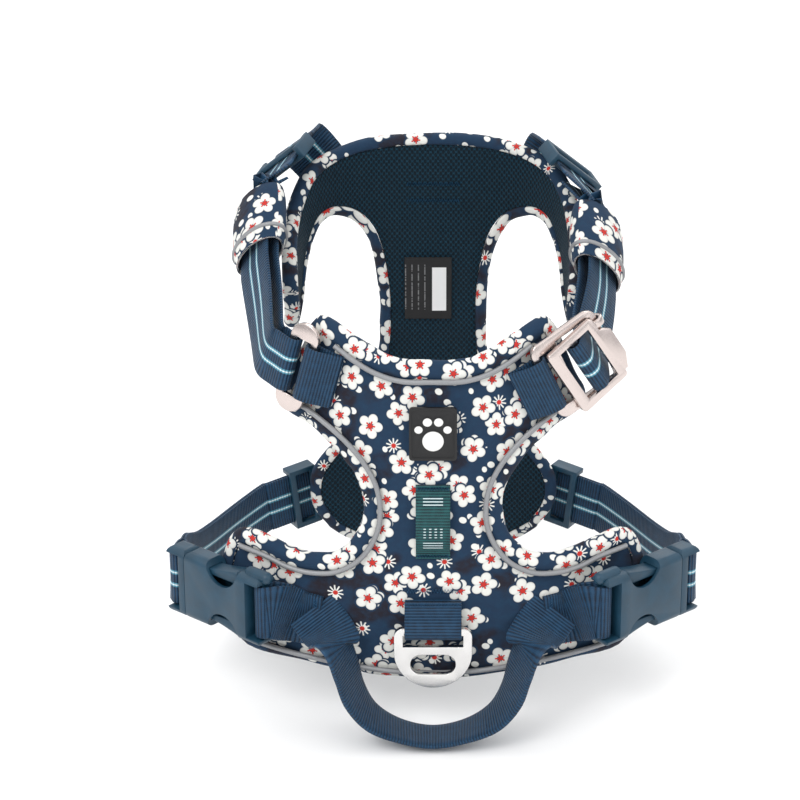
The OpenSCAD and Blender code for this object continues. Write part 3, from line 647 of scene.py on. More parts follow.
def printed_cotton(name, colours):
    """Cotton with scattered five petal blossoms, buds and small bursts"""
    look = Look(name, roughness=0.82, sheen_weight=0.04, specular_ior_level=0.25)
    x, y = look.flat()
    place = look.vector(x, y)
    patches = look.step(look.noise(place, 0.035, 2.0), 0.50, 0.58)
    tint = look.blend(patches, tuple(colours.ground), tuple(colours.shade))
    wash = look.noise(place, 0.30, 3.0)
    tint = look.blend(look.step(wash, 0.35, 0.75) * 0.35, tint, (0.014, 0.050, 0.098))
    big = colours.blossom / MM
    petal = tuple(colours.petal)
    dim = tuple(c * 0.80 for c in colours.petal)
    height = 0.0
    # Buds and bursts lie under the blossoms
    for pitch, size, seed, angle, share in ((9.5, 1.9, 3.0, 0.5, 0.62), (12.5, 1.5, 11.0, 1.2, 0.6)):
        dx, dy, keep, turn = scatter(look, x, y, pitch, size, seed, angle)
        far = root(dx * dx + dy * dy * 1.5)
        bud = look.step(far, size, size * 0.82) * (keep > share)
        tint = look.blend(bud, tint, petal)
    for pitch, size, seed, angle, share in ((15.5, 3.7, 21.0, 0.9, 0.55),):
        dx, dy, keep, turn = scatter(look, x, y, pitch, size, seed, angle)
        far, ahead, beside = folded(look, dx, dy, turn, 10)
        ray = look.step(beside, 0.40, 0.22) * look.step(far, size, size * 0.86) * (keep > share)
        tint = look.blend(ray, tint, petal)
        tint = look.blend(look.step(far, 1.25, 0.95) * (keep > share), tint, tuple(colours.heart))
    layers = ((15.5, 0.92, 59.0, 1.57, 0.72), (15.4, 0.95, 47.0, 0.95, 0.55), (16.0, 1.0, 31.0, 0.22, 0.30))
    for pitch, scale, seed, angle, share in layers:
        size = big * scale
        dx, dy, keep, turn = scatter(look, x, y, pitch, size, seed, angle)
        far, ahead, beside = folded(look, dx, dy, turn, 5)
        shown = keep > share
        px = (ahead - 0.60 * size) * (1 / (0.405 * size))
        py = beside * (1 / (0.385 * size))
        away = root(px * px + py * py)
        mask = look.step(away, 1.03, 0.93) * shown
        # A dark line keeps each blossom apart from those under it
        halo = look.step(away, 1.42, 1.25) * shown
        tint = look.blend(halo, tint, tuple(colours.ground))
        face = look.blend(look.step(away, 0.55, 1.0) * 0.75, petal, dim)
        tint = look.blend(mask, tint, face)
        star = larger(
            look.step(far, 0.21 * size, 0.16 * size),
            look.step(beside, 0.085 * size, 0.045 * size) * look.step(far, 0.44 * size, 0.36 * size),
        )
        tint = look.blend(star * shown, tint, tuple(colours.heart))
        height = mask * 0.25 + height
    weave = wave(x * (pi / 0.45)) * wave(y * (pi / 0.45))
    creases = look.noise(place, 0.16, 4.0, 0.6)
    look.bump(creases * 0.9 + weave * 0.05 + height * 0.05, 0.0011, 0.55)
    look.set("Base Color", tint)
    look.set("Roughness", 0.74 + wash * 0.2)
    return look.material


def air_mesh(name, colours):
    """Spacer mesh with staggered rows of holes"""
    look = Look(name, roughness=0.8, sheen_weight=0.03, specular_ior_level=0.2)
    x, y = look.flat()
    holes = None
    for shift_x, shift_y in ((0.0, 0.0), (1.25, 1.45)):
        cx = (x + shift_x) % 2.5 - 1.25
        cy = ((y + shift_y) % 2.9 - 1.45) * 0.62
        shaded_hole = look.step(root(cx * cx + cy * cy), 0.82, 0.48)
        holes = shaded_hole if holes is None else larger(holes, shaded_hole)
    cloud = look.noise(look.vector(x, y), 0.06, 3.0)
    knit = wave(x * (pi / 0.31)) * wave(y * (pi / 0.42))
    tint = look.blend(cloud, tuple(c * 0.75 for c in colours.mesh), tuple(c * 1.3 for c in colours.mesh))
    # Painted shade: the holes get the darker mesh hole colour
    tint = look.blend(holes * 0.9, tint, tuple(colours.shaded_hole))
    look.set("Base Color", tint)
    look.set("Roughness", 0.68 + cloud * 0.2)
    look.bump((1 - holes) + knit * 0.12, 0.0007, 0.8)
    return look.material


def woven(name, colours, ground=None, stripes=False, lines=False):
    """Webbing with ribs across it, and bright stripes along it"""
    look = Look(name, roughness=0.55, sheen_weight=0.05, specular_ior_level=0.35)
    x, y = look.flat()
    rib = colours.rib / MM
    row = whole(y * (1 / rib))
    ribs = abs(wave(y * (pi / rib)))
    yarns = abs(wave((x + row * 0.45) * (pi / 0.9)))
    height = ribs * 0.75 + yarns * ribs * 0.25
    ground = tuple(ground or colours.ground)
    # Painted shade: the grooves between the ribs get the darker groove colour
    tint = look.blend(look.step(height, 0.12, 0.8), tuple(colours.groove_shade), ground)
    cloud = look.noise(look.vector(x, y * 0.4), 0.35, 3.0)
    tint = look.blend(look.step(cloud, 0.3, 0.8) * 0.4, tint, tuple(min(1, c * 1.7) for c in ground))
    if stripes:
        away = abs(abs(x) - 3.1)
        band = look.step(away, 1.15, 0.8)
        core = look.step(away, 0.42, 0.22)
        # The stripes show less in the grooves, so the painted groove shade darkens them there too
        stripe_share_with_groove_shade = 0.55 + ribs * 0.45
        tint = look.blend(band * stripe_share_with_groove_shade, tint, tuple(colours.stripe))
        tint = look.blend(core * stripe_share_with_groove_shade, tint, tuple(colours.stripe_core))
    if lines:
        rung = look.step(abs(y % 1.35 - 0.675), 0.30, 0.14)
        zones = larger(look.step(abs(y - 7.5), 2.2, 2.0), look.step(abs(y - 27.5), 2.2, 2.0))
        dots = look.step(abs(y - 21.5), 2.4, 2.2) * look.step(abs(x % 2.4 - 1.2), 0.62, 0.42)
        inside = look.step(abs(x), 4.4, 4.2)
        tint = look.blend(rung * larger(zones, dots) * inside * 0.8, tint, tuple(colours.stripe_core))
    look.set("Base Color", tint)
    look.set("Roughness", 0.62 - ribs * 0.12)
    look.bump(height, 0.0005, 0.9)
    return look.material


def cord_finish(name, tint):
    """Bright reflective cord cover"""
    look = Look(name, roughness=0.4, metallic=0.25)
    x, y, z = look.place()
    grain = look.noise(look.vector(x, y, z), 2.2, 3.0)
    look.set("Base Color",
        look.blend(grain, tuple(c * 0.75 for c in tint), tuple(min(1, c * 1.3) for c in tint)))
    look.set("Roughness", 0.34 + grain * 0.2)
    look.bump(grain, 0.0002, 0.5)
    return look.material


def satin(name, tint, roughness=0.24):
    """Satin plated metal with fine brushing and a few dull spots"""
    look = Look(name, metallic=1.0, roughness=roughness)
    x, y, z = look.place()
    cloud = look.noise(look.vector(x, y, z), 0.22, 4.0)
    brush = look.noise(look.vector(x * 0.25, y * 2.0, z * 4.0), 1.2, 3.0)
    look.set("Base Color",
        look.blend(cloud, tuple(c * 0.88 for c in tint), tuple(min(1, c * 1.05) for c in tint)))
    look.set("Roughness", roughness - 0.05 + cloud * 0.14)
    look.bump(brush, 0.00001, 0.4)
    return look.material


def moulded(name, tint, roughness=0.42):
    """Moulded nylon: fine grain, slightly paler where it is handled"""
    look = Look(name, roughness=roughness)
    x, y, z = look.place()
    place = look.vector(x, y, z)
    grain, cloud = look.noise(place, 2.6, 2.0), look.noise(place, 0.12, 4.0)
    look.set(
        "Base Color", look.blend(look.step(cloud, 0.3, 0.8), tuple(c * 0.85 for c in tint),
            tuple(c * 1.2 for c in tint))
    )
    look.set("Roughness", roughness - 0.06 + cloud * 0.16)
    look.bump(grain, 0.00012, 0.45)
    return look.material


# A plain paw: (x, height above the badge's middle, radius), mm
PAW = ((0, -3, 4.6), (-6.2, 2.2, 1.8), (-2.4, 5.6, 2), (2.4, 5.6, 2), (6.2, 2.2, 1.8))
BADGE_Z = 93


def badge_rubber(name, colours):
    look = Look(name, roughness=0.5)
    x, y, z = look.place()
    mask = None
    for px, pz, r in PAW:
        dx, dz = x - px, z - (BADGE_Z + pz)
        spot = look.step(root(dx * dx + dz * dz), r + 0.08, r - 0.12)
        mask = spot if mask is None else larger(mask, spot)
    grain = look.noise(look.vector(x, y, z), 1.8, 3.0)
    look.set("Base Color", look.blend(mask, tuple(colours.rubber), tuple(colours.print)))
    look.set("Roughness", 0.42 + grain * 0.2)
    look.bump(grain, 0.00012, 0.4)
    return look.material


def label_cloth(name):
    """Black satin label with a blank white writing panel and plain grey rules"""
    look = Look(name, roughness=0.5)
    x, y, z = look.place()
    low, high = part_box("care_label")
    cx, cz = (low.x + high.x) * 500, (low.z + high.z) * 500
    panel = look.step(abs(x - (cx + 5.2)), 3.4, 3.2) * look.step(abs(z - (cz - 0.5)), 11.0, 10.8)
    weave = abs(wave(z * (pi / 0.35)))
    rules = look.step(abs((x - cx) % 3.0 - 1.5), 0.32, 0.2) * look.step(abs(z - (cz + 0.5)), 11.5, 11.2)
    rules = rules * look.step(x - cx, -0.4, -0.8) * look.step(look.noise(look.vector(x * 0.2, 0.0, z), 0.9),
        0.42, 0.5)
    tint = look.blend(rules * 0.5, (0.006, 0.006, 0.007), (0.35, 0.35, 0.36))
    look.set("Base Color", look.blend(panel, tint, (0.8, 0.8, 0.8)))
    look.set("Roughness", 0.42 + weave * 0.2)
    look.bump(weave, 0.0001, 0.4)
    return look.material


LOOKS = {}


def make_looks(scene):
    """Every finish of the harness, by a short name"""
    webbing, panels, fittings = scene.harness_webbing, scene.harness_panels, scene.harness_fittings
    LOOKS["cotton"] = printed_cotton("floral cotton", panels)
    LOOKS["mesh"] = air_mesh("air mesh", panels)
    LOOKS["web"] = woven("ribbed webbing", webbing)
    LOOKS["striped"] = woven("striped webbing", webbing, stripes=True)
    LOOKS["loop"] = woven("light loop webbing", webbing, ground=webbing.loop, lines=True)
    LOOKS["thread"] = cord_finish("sewing thread", tuple(c * 1.5 for c in webbing.ground))
    LOOKS["piping"] = cord_finish("reflective piping", panels.piping)
    LOOKS["metal"] = satin("satin metal", fittings.metal)
    LOOKS["plate"] = satin("polished plate", fittings.plate, 0.2)
    LOOKS["plastic"] = moulded("moulded plastic", fittings.plastic)
    LOOKS["badge"] = badge_rubber("badge rubber", fittings)
    LOOKS["label"] = label_cloth("care label cloth")


# ------------------------------------------------------------------ padded panels
def puff(piece, cap, frames=14, pressure=4.0):
    """Lets the padding push the cloth out between its seams, and keeps each point within cap of its place"""
    scene = bpy.context.scene
    only(piece)
    rest = [v.co.copy() for v in piece.data.vertices]
    modifier = piece.modifiers.new("Padding", "CLOTH")
    cloth = modifier.settings
    cloth.quality = 4
    cloth.mass = 0.2
    cloth.tension_stiffness = cloth.compression_stiffness = 12
    cloth.shear_stiffness = 6
    cloth.bending_stiffness = 0.6
    cloth.use_pressure = True
    cloth.uniform_pressure_force = pressure
    cloth.effector_weights.gravity = 0
    cloth.vertex_group_mass = "seam"
    modifier.point_cache.frame_start, modifier.point_cache.frame_end = 1, frames
    for number in range(1, frames + 1):
        scene.frame_set(number)
    bpy.ops.object.modifier_apply(modifier=modifier.name)
    scene.frame_set(1)
    for vertex, old in zip(piece.data.vertices, rest):
        moved = vertex.co - old
        if moved.length > cap:
            vertex.co = old + moved * (cap / moved.length)
    return piece


def panel_layer(name, side, outer, inner, cells, dip):
    """One closed layer of a panel between two depths, with its edge sunk into the seam"""
    cells_u, cells_v = cells
    edge = []

    def place(u, v):
        t, z, band = panel_at(side, u, 1 - v)
        rim = min(u * cells_u, (1 - u) * cells_u, v * cells_v, (1 - v) * cells_v)
        edge.append(rim)
        sink = dip * (1 - ease(rim / 5))
        base = outer - sink if outer > inner else outer + sink
        return skin(side, t, z, base), flat_place(side, t, z)

    piece = laid_grid(name, cells_u, cells_v, place)
    seam = piece.vertex_groups.new(name="seam")
    seam.add([i for i, rim in enumerate(edge) if rim < 1.5], 1.0, "REPLACE")
    if outer < inner:
        in_edit(piece, (bpy.ops.mesh.flip_normals, {}))
    thick = abs(outer - inner)
    finish_with(piece, "SOLIDIFY", thickness=thick * MM, offset=-1)
    return piece


# The rolled edge's section: beside the seam (mm), share of the band, height off the outer face (mm)
EDGE_SECTION = [
    (0.3, 0.0, 0.15), (0.1, 0.28, 0.75), (0, 0.6, 0.62), (0, 0.88, -0.5), (0, 1.0, -2.1), (0, 1.0, -3.5),
    (0, 0.88, -5.0), (0, 0.6, -5.95), (0.1, 0.28, -6.2), (0.3, 0.0, -5.7), (0.3, 0.0, -2.8),
]


def outline(side, steps):
    """(t, height, band, out direction, normal) round a panel"""
    top = [panel_at(side, k / steps, 0) for k in range(steps)]
    right = [panel_at(side, 1, k / (2 * steps)) for k in range(2 * steps)]
    low = [panel_at(side, 1 - k / steps, 1) for k in range(steps)]
    left = [panel_at(side, 0, 1 - k / (2 * steps)) for k in range(2 * steps)]
    line = top + right + low + left
    n = len(line)
    face = 0 if side == BACK else PANEL_T
    outs = []
    for i in range(n):
        a, p, b = line[i - 1], line[i], line[(i + 1) % n]
        way = skin(side, b[0], b[1], 0) - skin(side, a[0], a[1], 0)
        normal = skin_and_normal(side, p[0], p[1])[1]
        outs.append(normal.cross(way).normalized())
    made = []
    for i, p in enumerate(line):
        out = sum((outs[(i + k) % n] for k in range(-3, 4)), Vector()).normalized()
        here, normal = skin(side, p[0], p[1], face), skin_and_normal(side, p[0], p[1])[1]
        made.append((p, here, out, normal))
    return made


def rolled_edge(name, side, steps=64, ripple=0.22):
    """The cotton rolled round a panel's edge"""
    line = outline(side, steps)
    n, m = len(line), 2 * len(EDGE_SECTION)
    section = EDGE_SECTION + EDGE_SECTION[:1]
    # Length round the section, so that the print runs on from the cover
    turns = [along(section, k / m) for k in range(m + 1)]

    def place(u, v):
        i = round(v * n) % n
        k = round(u * m)
        (t, z, band), here, out, normal = line[i]
        beside, share, lift = turns[k]
        swell = ripple * sin(i * 0.55 + 2.0 * sin(i * 0.13)) * (1 if 1 < k < m - 4 else 0)
        point = here + out * (beside + share * band + swell * share) + normal * (lift + 0.5 * swell)
        centre = flat_place(side, t, z)
        ahead = flat_place(side, *line[(i + 1) % n][0][:2]) - flat_place(side, *line[i - 1][0][:2])
        way = Vector((-ahead.y, ahead.x))
        way = way.normalized() if way.length > 1e-6 else Vector((0, 1))
        far = sum(
            hypot((turns[q][1] - turns[q - 1][1]) * band, turns[q][2] - turns[q - 1][2]) for q in range(1,
                k + 1)
        )
        return point, centre + way * far

    piece = laid_grid(name, m, n, place)
    in_edit(
        piece,
        (bpy.ops.mesh.remove_doubles, {"threshold": 0.00002}),
        (bpy.ops.mesh.normals_make_consistent, {"inside": False}),
    )
    return smooth(piece, 60)


class HARNESS_OT_panels(bpy.types.Operator):
    """Sew the padded back and chest panels with their rolled edges and linings"""

    bl_idname = "harness.panels"
    bl_label = "Padded panels"

    def execute(self, context):
        crown = context.scene.harness_panels.crown
        panels = (
            ("back", BACK, 0.0, -COVER_DEPTH, -PANEL_T, (56, 84)),
            ("chest", CHEST, PANEL_T, PANEL_T - COVER_DEPTH, 0.0, (48, 84)),
        )
        for word, side, outer, middle, inner, cells in panels:
            pad = panel_layer(f"{word}_panel_pad", side, outer, middle, cells, 0.7)
            puff(pad, crown)
            smooth(pad, 50)
            done(pad, LOOKS["cotton"], "harness", (f"{word}_cover", f"{word}_padding"))
            lining = panel_layer(f"{word}_panel_lining", side, inner, middle - 0.1, cells, 0.35)
            puff(lining, crown * 0.5, 10, 2.0)
            smooth(lining, 50)
            done(lining, LOOKS["mesh"], "harness", (f"{word}_lining",))
            edge = rolled_edge(f"{word}_rolled_edge", side)
            done(edge, LOOKS["cotton"], "harness", (f"{word}_edge_binding",))
        return {"FINISHED"}


class HARNESS_OT_piping(bpy.types.Operator):
    """Lay the reflective piping along the seams of the back panel"""

    bl_idname = "harness.piping"
    bl_label = "Reflective piping"

    def execute(self, context):
        steps, radius = 110, 1.2
        lines = [across(BACK_NECK), across(BACK_REAR[::-1])]
        lines += [turned(BACK_SIDE[4:18], s) for s in (-1, 1)]
        paths = []
        for line in lines:
            path = []
            for k in range(steps + 1):
                t, z, _ = along(line, k / steps)
                path.append(skin(BACK, t, z, 0.25 + radius))
            paths.append(path)
        piece = wire("back_piping_cord", paths, radius, sides=5)
        done(piece, LOOKS["piping"], "harness", ("back_piping",))
        return {"FINISHED"}


# ------------------------------------------------------------------ places of the fittings, mm
LEASH_FRAME = skin_frame(BACK, 0, 1.6, 4.45, 90)
FRONT_FRAME = skin_frame(CHEST, 180, 141, PANEL_T + 4.45, 90)
RING_FRAME = skin_frame(BACK, -44, 116, 5.4, -15)
RECEIVER_FRAME = skin_frame(BACK, 40, 112, 5.6, 25)
STRAP_BAR_X = -10.6
STRAP_TURN = 10
HOOK_SPIN = 8
HOOK_BAR = 13.5
HOOK_FRAME = (
    in_frame(RECEIVER_FRAME, 5.5, -3.5, 3.7),
    cos(radians(HOOK_SPIN)) * RECEIVER_FRAME[1] + sin(radians(HOOK_SPIN)) * RECEIVER_FRAME[2],
    cos(radians(HOOK_SPIN)) * RECEIVER_FRAME[2] - sin(radians(HOOK_SPIN)) * RECEIVER_FRAME[1],
    RECEIVER_FRAME[3],
)
LAYERS_APART = 2.6
SLEEVE_DIR, SLEEVE_WIDE = Vector((-0.03, 0.83, 0.55)), Vector((0.5, -0.55, 0.67))
SLIDER_DIR, SLIDER_WIDE = Vector((0.32, 0.92, 0.22)), Vector((0.72, -0.2, 0.66))
SLEEVE_LEFT = along_frame((-76.8, 8.5, 158.5), SLEEVE_DIR, SLEEVE_WIDE)
SLEEVE_RIGHT = along_frame((72.6, 2.5, 152.5), flip(SLEEVE_DIR), flip(SLEEVE_WIDE))
SLIDER_LEFT_AT, SLIDER_RIGHT_AT = Vector((-67.5, 44.5, 178.5)), Vector((62, 43, 175.5))
SLIDER_LEFT = along_frame(SLIDER_LEFT_AT, SLIDER_DIR, SLIDER_WIDE)
SLIDER_RIGHT = along_frame(SLIDER_RIGHT_AT, flip(SLIDER_DIR), flip(SLIDER_WIDE))
SLEEVE_RUN = (-25, -21, 0, 17, 19.5)
SLIDER_RUN = (-13, -10, 0, 10, 13)
UP = Vector((0, 0, 1))
BUCKLE_DIR = Vector((0.756, 0.6546, 0))
BUCKLE = (Vector((73.3, -70.1, 8.3)), BUCKLE_DIR, UP, BUCKLE_DIR.cross(UP))
PLUG_BAR_X, SOCKET_BAR_X = 54.7, 1.7
PLUG_BAR = in_frame(BUCKLE, PLUG_BAR_X, 0, 0)
BELLY_SLIDER = along_frame((63.4, 71.3, 0.5), Vector((0.86, -0.5, -0.13)), UP)


def ring_layer(d, r):
    c, s = cos(radians(STRAP_TURN)), sin(radians(STRAP_TURN))
    return STRAP_BAR_X - d * c - r * s, r * c - d * s


def to_chest(slider_at):
    """From a slider down the outside of the chest panel, for the +X side"""
    ends = ((142, 170, 5.5, (-0.8, 0.4, 0.35)), (145, 160, 2.3, (-0.83, 0.5, 0.2)),
        (147, 149, 1.9, (-0.83, 0.55, 0.1)))
    path = [(slider_at + Vector((-7, 23, 1.5)), Vector((-0.77, 0.1, 0.5)))]
    return path + [(skin(CHEST, t, z, PANEL_T + off), Vector(w)) for t, z, off, w in ends]


def tab_path(f, d, drop):
    return (
        in_path(f, [(12.5 * d, 1.4 - drop), (8 * d, -0.6), (3.6 * d, 2.3)])
        + [(in_frame(f, -d * WRAP_R * cos(radians(a)), 0, WRAP_R * sin(radians(a))),
            f[2]) for a in range(90, -91, -30)]
        + in_path(f, [(3.6 * d, -3.2), (8 * d, -0.7 - drop * 0.65), (12.5 * d, -drop)])
    )


def hanging_tab(f, top, bottom):
    """A tab that wraps a bar at x = 0 of a frame whose x points up"""
    return (
        in_path(f, top)
        + [(in_frame(f, -WRAP_R * cos(radians(a)), 0, WRAP_R * sin(radians(a))), f[2]) for a in range(90,
            -91, -30)]
        + in_path(f, bottom)
    )


class HARNESS_OT_tabs(bpy.types.Operator):
    """Sew the short webbing tabs, the side webbing and the light loop to the panels"""

    bl_idname = "harness.tabs"
    bl_label = "Sewn webbing"

    def execute(self, context):
        paths = {
            "leash_tab": hanging_tab(LEASH_FRAME, [(13.5, -1.7), (8, -0.4), (4, 2)],
                [(4, -3.4), (8, -3.4), (13.5, -3.3)]),
            "front_leash_tab": hanging_tab(
                FRONT_FRAME, [(20, -1.9), (12, -1.3), (4, 2)], [(4, -3.4), (12, -3.4), (20, -3.4)]
            ),
            "shoulder_tab_left": tab_path(RING_FRAME, 1, 4.9),
            "shoulder_tab_right": tab_path(RECEIVER_FRAME, -1, 5.1),
        }
        for node, path in paths.items():
            done(strap(f"{node}_webbing", path), LOOKS["web"], "harness", (node,))
        side = (
            [(skin(BACK, t, z, off), UP) for t, z, off in ((37, 1.5, 2.4), (44, 3, 2.6))]
            + [(Vector((68.6, -70.6, 8)), UP)]
            + half_turn(BUCKLE, SOCKET_BAR_X, 0, 62, -1)
            + [(Vector((70.4, -65.6, 8)), UP)]
            + [(skin(BACK, t, z, off), UP) for t, z, off in ((44, 3, 1.1), (37, 1.5, 1.05))]
        )
        for word, path in (("right", side), ("left", mirrored(side))):
            node = f"side_webbing_{word}"
            done(strap(f"{node}_strap", path), LOOKS["web"], "harness", (node,))
        loop = [
            (skin(BACK, 0, z, off), Vector((1, 0, 0)))
            for z, off in ((69, 1), (65.5, 1.1), (60, 3), (52, 3.7), (44, 3), (38.5, 1.1), (35, 1))
        ]
        done(strap("light_loop_webbing", loop, 15, 1.2, 6), LOOKS["loop"], "harness", ("light_loop",))
        return {"FINISHED"}


class HARNESS_OT_straps(bpy.types.Operator):
    """Run the adjustable shoulder and belly straps, each one length of webbing"""

    bl_idname = "harness.straps"
    bl_label = "Adjustable straps"

    def shoulder(self, word, outer, loop, under, body, blend, layers, free):
        path = outer[::-1] + loop + under
        n, m = len(outer), len(outer) + len(loop)
        piece = strap(f"shoulder_webbing_{word}", path, fine=6, eased=[(n - 1 - free, n - 1), (m, m + free)])
        done(piece, LOOKS["striped"], None, layers)
        start, end = blend
        start * MM
        end * MM
        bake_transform(piece)

    def execute(self, context):
        left = (
            in_path(RING_FRAME, [ring_layer(d, 3.1) for d in (7.6, 9.6, 12.4)])
            + [(Vector((-74.2, -40.5, 126)), Vector((0.3, -0.18, 0.93)))]
            + [(Vector((-74.3, -30, 133)), Vector((0.4, -0.3, 0.87)))]
            + run(SLEEVE_LEFT, SLEEVE_RUN, -LAYERS_APART)
            + run(SLIDER_LEFT, SLIDER_RUN, 0)
            + mirrored(to_chest(flip(SLIDER_LEFT_AT)))
        )
        left_loop = (
            in_path(RING_FRAME, [ring_layer(5.5, 3.1), ring_layer(2.5, WRAP_R)])
            + half_turn(RING_FRAME, STRAP_BAR_X, 0, STRAP_TURN, -1)
            + in_path(RING_FRAME, [ring_layer(2.5, -WRAP_R), ring_layer(5.5, -3.1)])
        )
        # The half turn is on the far side of the bar from the strap
        left_under = (
            in_path(RING_FRAME, [ring_layer(d, -3.1) for d in (7.6, 9.6, 12.4)])
            + [(Vector((-69.9, -36.5, 125.3)), Vector((0.3, -0.18, 0.93)))]
            + [(Vector((-69.8, -28, 131.8)), Vector((0.4, -0.3, 0.87)))]
            + run(SLEEVE_LEFT, SLEEVE_RUN, LAYERS_APART)
            + run(SLIDER_LEFT, [-14.5], 3.5)
        )
        self.shoulder(
            "left", left, left_loop, left_under, "shoulder_ring",
            (in_frame(RING_FRAME, -30, 0, -4), in_frame(RING_FRAME, -16, 0, -1)),
            ("shoulder_strap_left", "shoulder_strap_under_left", "shoulder_ring_strap_loop"), 6,
        )
        right = (
            in_path(HOOK_FRAME, [(24.4, -10.8), (25.3, -12.4), (26.9, -15.1)])
            + [(Vector((72.5, -28, 132)), Vector((-0.5, -0.36, 0.79)))]
            + run(SLEEVE_RIGHT, SLEEVE_RUN, LAYERS_APART)
            + run(SLIDER_RIGHT, SLIDER_RUN, 0)
            + to_chest(SLIDER_RIGHT_AT)
        )
        right_loop = (
            in_path(HOOK_FRAME, [(23.3, -9), (22.3, -7.3), (20.6, -4.3), (18.4, -0.9)])
            + [
                (in_frame(HOOK_FRAME, HOOK_BAR + WRAP_R * cos(radians(a)), 0, WRAP_R * sin(radians(a))),
                    HOOK_FRAME[2])
                for a in range(40, 251, 30)
            ]
            + in_path(HOOK_FRAME, [(15.6, -4.7), (18.5, -7), (20, -9.2), (20.9, -10.9)])
        )
        right_under = (
            in_path(HOOK_FRAME, [(22, -12.7), (22.9, -14.3), (24.5, -17)])
            + [(Vector((68, -26.5, 130.5)), Vector((-0.5, -0.36, 0.79)))]
            + run(SLEEVE_RIGHT, SLEEVE_RUN, -LAYERS_APART)
            + run(SLIDER_RIGHT, [-13], -3.5)
        )
        self.shoulder(
            "right", right, right_loop, right_under, "neck_hook",
            (Vector((72, -12, 141)), in_frame(HOOK_FRAME, 21, 0, -9)),
            ("shoulder_strap_right", "shoulder_strap_under_right", "neck_buckle_strap_loop"), 5,
        )
        self.belly()
        return {"FINISHED"}

    def belly(self):
        middle = run(BELLY_SLIDER, (-13, -9, 0, 17, 21), 0) + [
            (Vector(p), UP)
            for p in ((93.5, 43, -4), (103.5, 22, -4), (109.5, 5, -1.5), (112.3, -6.5, 2.8),
                (113.3, -13.2, 5.8))
        ]
        sewn = [(skin(CHEST, t, z, PANEL_T + off), UP) for t, z, off in ((158, 5.5, 1.8), (151, 4, 2.2))]
        loop = (
            [(PLUG_BAR + Vector((0, 15.2, -1.5)), UP), (PLUG_BAR + Vector((1.2, 10.5, -0.5)), UP)]
            + half_turn(BUCKLE, PLUG_BAR_X, 0, 113, 1)
            + [(PLUG_BAR + Vector((-2.9, 10.2, -0.5)), UP), (PLUG_BAR + Vector((-2.1, 14.7, -1.5)), UP)]
        )
        path = shifted(sewn + middle, 0.68) + loop + shifted(middle, -0.68)[::-1]
        for word, line in (("right", path), ("left", mirrored(path))):
            nodes = (f"belly_strap_{word}", f"belly_strap_loop_{word}")
            piece = strap(f"belly_webbing_{word}", line, thick=1.25, fine=6)
            done(piece, LOOKS["striped"], None, nodes)
            s = 1 if word == "right" else -1
            Vector((s * 92, 44, 0)) * MM
            Vector((s * 113, -12, 4)) * MM
            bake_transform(piece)


class HARNESS_OT_handle(bpy.types.Operator):
    """Sew the lift handle to the side webbing, along a path that hangs down"""

    bl_idname = "harness.handle"
    bl_label = "Lift handle"

    def execute(self, context):
        left = [
            ((-53.5, -67.2, 8), (0.75, 0.2, 0.62)), ((-48.5, -71.0, 2.2), (0.8, 0.3, 0.5)),
                ((-44.4, -77.2, -0.6), (0.62, 0.7, 0.3)),
            ((-41.5, -83, -3), (0.4, 0.91, 0)), ((-38, -83.3, -14), (0.36, 0.93, 0)),
                ((-34.5, -83.7, -26), (0.3, 0.95, 0)),
            ((-27, -84, -37), (0.15, 0.98, 0)), ((-14.5, -84, -44), (0.03, 1, -0.08)),
        ]
        path = [(Vector(p), Vector(w)) for p, w in left]
        path = path + [(Vector((0, -84, -47)), Vector((0, 1, -0.1)))] + mirrored(path)[::-1]
        piece = strap("lift_handle_webbing", path, 23.5, 1.8, 8)
        done(piece, LOOKS["web"], None, ("handle_strap",))
        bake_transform(piece)
        return {"FINISHED"}


class HARNESS_OT_sleeves(bpy.types.Operator):
    """Sew the padded sleeves round the shoulder straps, each with a piped end"""

    bl_idname = "harness.sleeves"
    bl_label = "Strap sleeves"

    def execute(self, context):
        long, wall, steps, round_steps = 31.0, 1.6, 12, 48
        for word, f in (("left", SLEEVE_LEFT), ("right", SLEEVE_RIGHT)):

            def place(u, v):
                a = 2 * pi * u
                s = 1.8 * v
                c, n = cos(a), sin(a)
                # Outside from one end to the other, over a round lip and back through the inside
                if v < 0.5:
                    w = v * 2
                    g = 0.9 * sin(pi * w) + 0.18 * sin(5 * a) * sin(pi * w)
                    lip = 0.7 * (1 - min(1, min(w, 1 - w) * steps * 0.5))
                    return in_frame(f, (w - 0.5) * long, (17 + g - lip) * c,
                        (8.9 + g - lip) * n), (75 * u + 300, w * long)
                w = 2 - v * 2
                return in_frame(f, (w - 0.5) * long, (17 - wall) * c, (8.9 - wall) * n), (75 * u + 300,
                    long + (1 - w) * 20)

            piece = laid_grid(f"strap_sleeve_{word}_pad", round_steps, 2 * steps + 1, place)
            # The last row closes on the first one
            in_edit(
                piece,
                (bpy.ops.mesh.remove_doubles, {"threshold": 0.00002}),
            )
            only(piece)
            bpy.ops.object.mode_set(mode="EDIT")
            bpy.ops.mesh.select_mode(type="EDGE")
            bpy.ops.mesh.select_all(action="DESELECT")
            bpy.ops.mesh.select_non_manifold()
            bpy.ops.mesh.bridge_edge_loops()
            bpy.ops.mesh.select_all(action="SELECT")
            bpy.ops.mesh.normals_make_consistent(inside=False)
            bpy.ops.mesh.select_mode(type="VERT")
            bpy.ops.object.mode_set(mode="OBJECT")
            smooth(piece, 60)
            done(piece, LOOKS["cotton"], f"sleeve_{word}", (f"strap_sleeve_{word}",))
            ring = [
                in_frame(f, -9.5, 17.55 * cos(2 * pi * k / 64),
                    9.45 * sin(2 * pi * k / 64)) for k in range(64)
            ]
            cord = wire(f"strap_sleeve_{word}_piping", [ring], 0.95, closed=True, sides=5)
            done(cord, LOOKS["piping"], f"sleeve_{word}", ())
        return {"FINISHED"}


